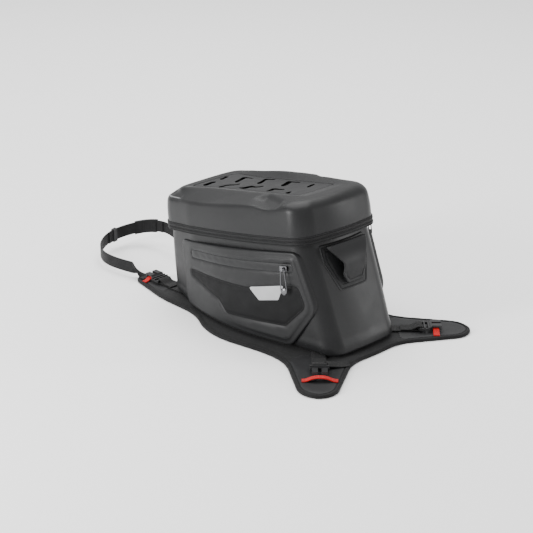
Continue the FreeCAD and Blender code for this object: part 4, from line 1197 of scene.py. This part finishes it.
# ---- zip pullers ----------------------------------------------------------------------------
def wire(name, line, radius, material, body, slot, node):
    """Closed wire loop with a rounded section."""
    line = evenly(np.asarray(line, float), 0.8)
    count = len(line)
    centre = line.mean(0)
    ahead = unit(np.roll(line, -1, axis=0) - np.roll(line, 1, axis=0))
    plane = np.linalg.svd(line - centre)[2][2]
    rows = []
    for k in range(count):
        side = np.cross(ahead[k], plane)
        rows.append(np.array([line[k] + (side * math.cos(t) + plane * math.sin(t)) * radius
                              for t in np.linspace(0, 2 * math.pi, 10, endpoint=False)]))
    faces = tube_faces(count, 10, closed_rows=True)
    return make(name, np.vstack(rows), faces, material, body=body, slot=slot, replaces=(node,), sharp=60)


def puller_frame(node):
    """Pivot and directions of a puller, read from its joint."""
    joint = next(j for j in frame["joints"] if j["child"] == node)
    return np.array(joint["pos_m"]) * 1000, -np.array(joint["axis"], float)


def build_pullers():
    for node, top, foot, length, material, slot_name in (
        ("pocket_puller_left", 2.5, 4.6, 36.0, SILVER, "silver_metal"),
        ("pocket_puller_right", 2.5, 4.6, 36.0, SILVER, "silver_metal"),
        ("lid_zip_puller", 2.6, 3.2, 29.0, PULLER, "puller_rubber"),
    ):
        pivot, along = puller_frame(node)
        low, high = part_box(node)
        middle = np.array([(low[k] + high[k]) * 500 for k in range(3)])
        down = middle - pivot
        down -= along * (down @ along)
        down /= np.linalg.norm(down)
        half = 0.75
        shape = [(-top, 0), (top, 0), (top + 0.3, 2), (foot * 0.85, length * 0.45), (foot, length * 0.8),
                 (foot * 0.8, length * 0.93), (0, length - half), (-foot * 0.8, length * 0.93),
                 (-foot, length * 0.8), (-foot * 0.85, length * 0.45), (-top - 0.3, 2)]
        line = np.array([pivot + along * a + down * b for a, b in shape])
        wire(node + "_wire", line, half, material, node, slot_name, node)
        # Flat bead across the foot of the loop.
        out = np.cross(along, down)
        bead_rows = []
        for b, wide, thick in ((0.74, 0.2, 0.5), (0.76, foot * 0.8, 0.95), (0.82, foot * 0.98, 1.15),
                               (0.9, foot * 0.98, 1.15), (0.96, foot * 0.72, 1.0), (1.0, foot * 0.4, 0.7)):
            centre = pivot + down * length * b
            bead_rows.append(np.array([
                centre + along * wide * math.cos(t) + out * thick * math.sin(t)
                for t in np.linspace(0, 2 * math.pi, 20, endpoint=False)]))
        points, faces = skin(bead_rows, True, True)
        make(node + "_bead", points, faces, material, body=node, slot=slot_name, sharp=60)


def build_net():
    edge = moved_in(mirror_half(LID_CREST_LINE), 3.6, 4.0)
    flat, faces = fill(edge, [], 6.0)
    into = inside_distance(flat, edge)
    height = NET_HEIGHT - NET_SAG * smooth(into, 0, 30)
    top = from_zip(with_height(flat, height))
    bottom = from_zip(with_height(flat, height - NET_THICK))
    net = make("lid_net", *slab(top, bottom, faces), NET, body="lid",
               slot="net", replaces=("lid_net_pocket",), sharp=60)


build_body()
build_zip_bands()
build_lid()
build_lid_panel()
build_pockets()
build_handle()
build_harness()
build_corners()
build_strap()
build_pullers()
build_net()
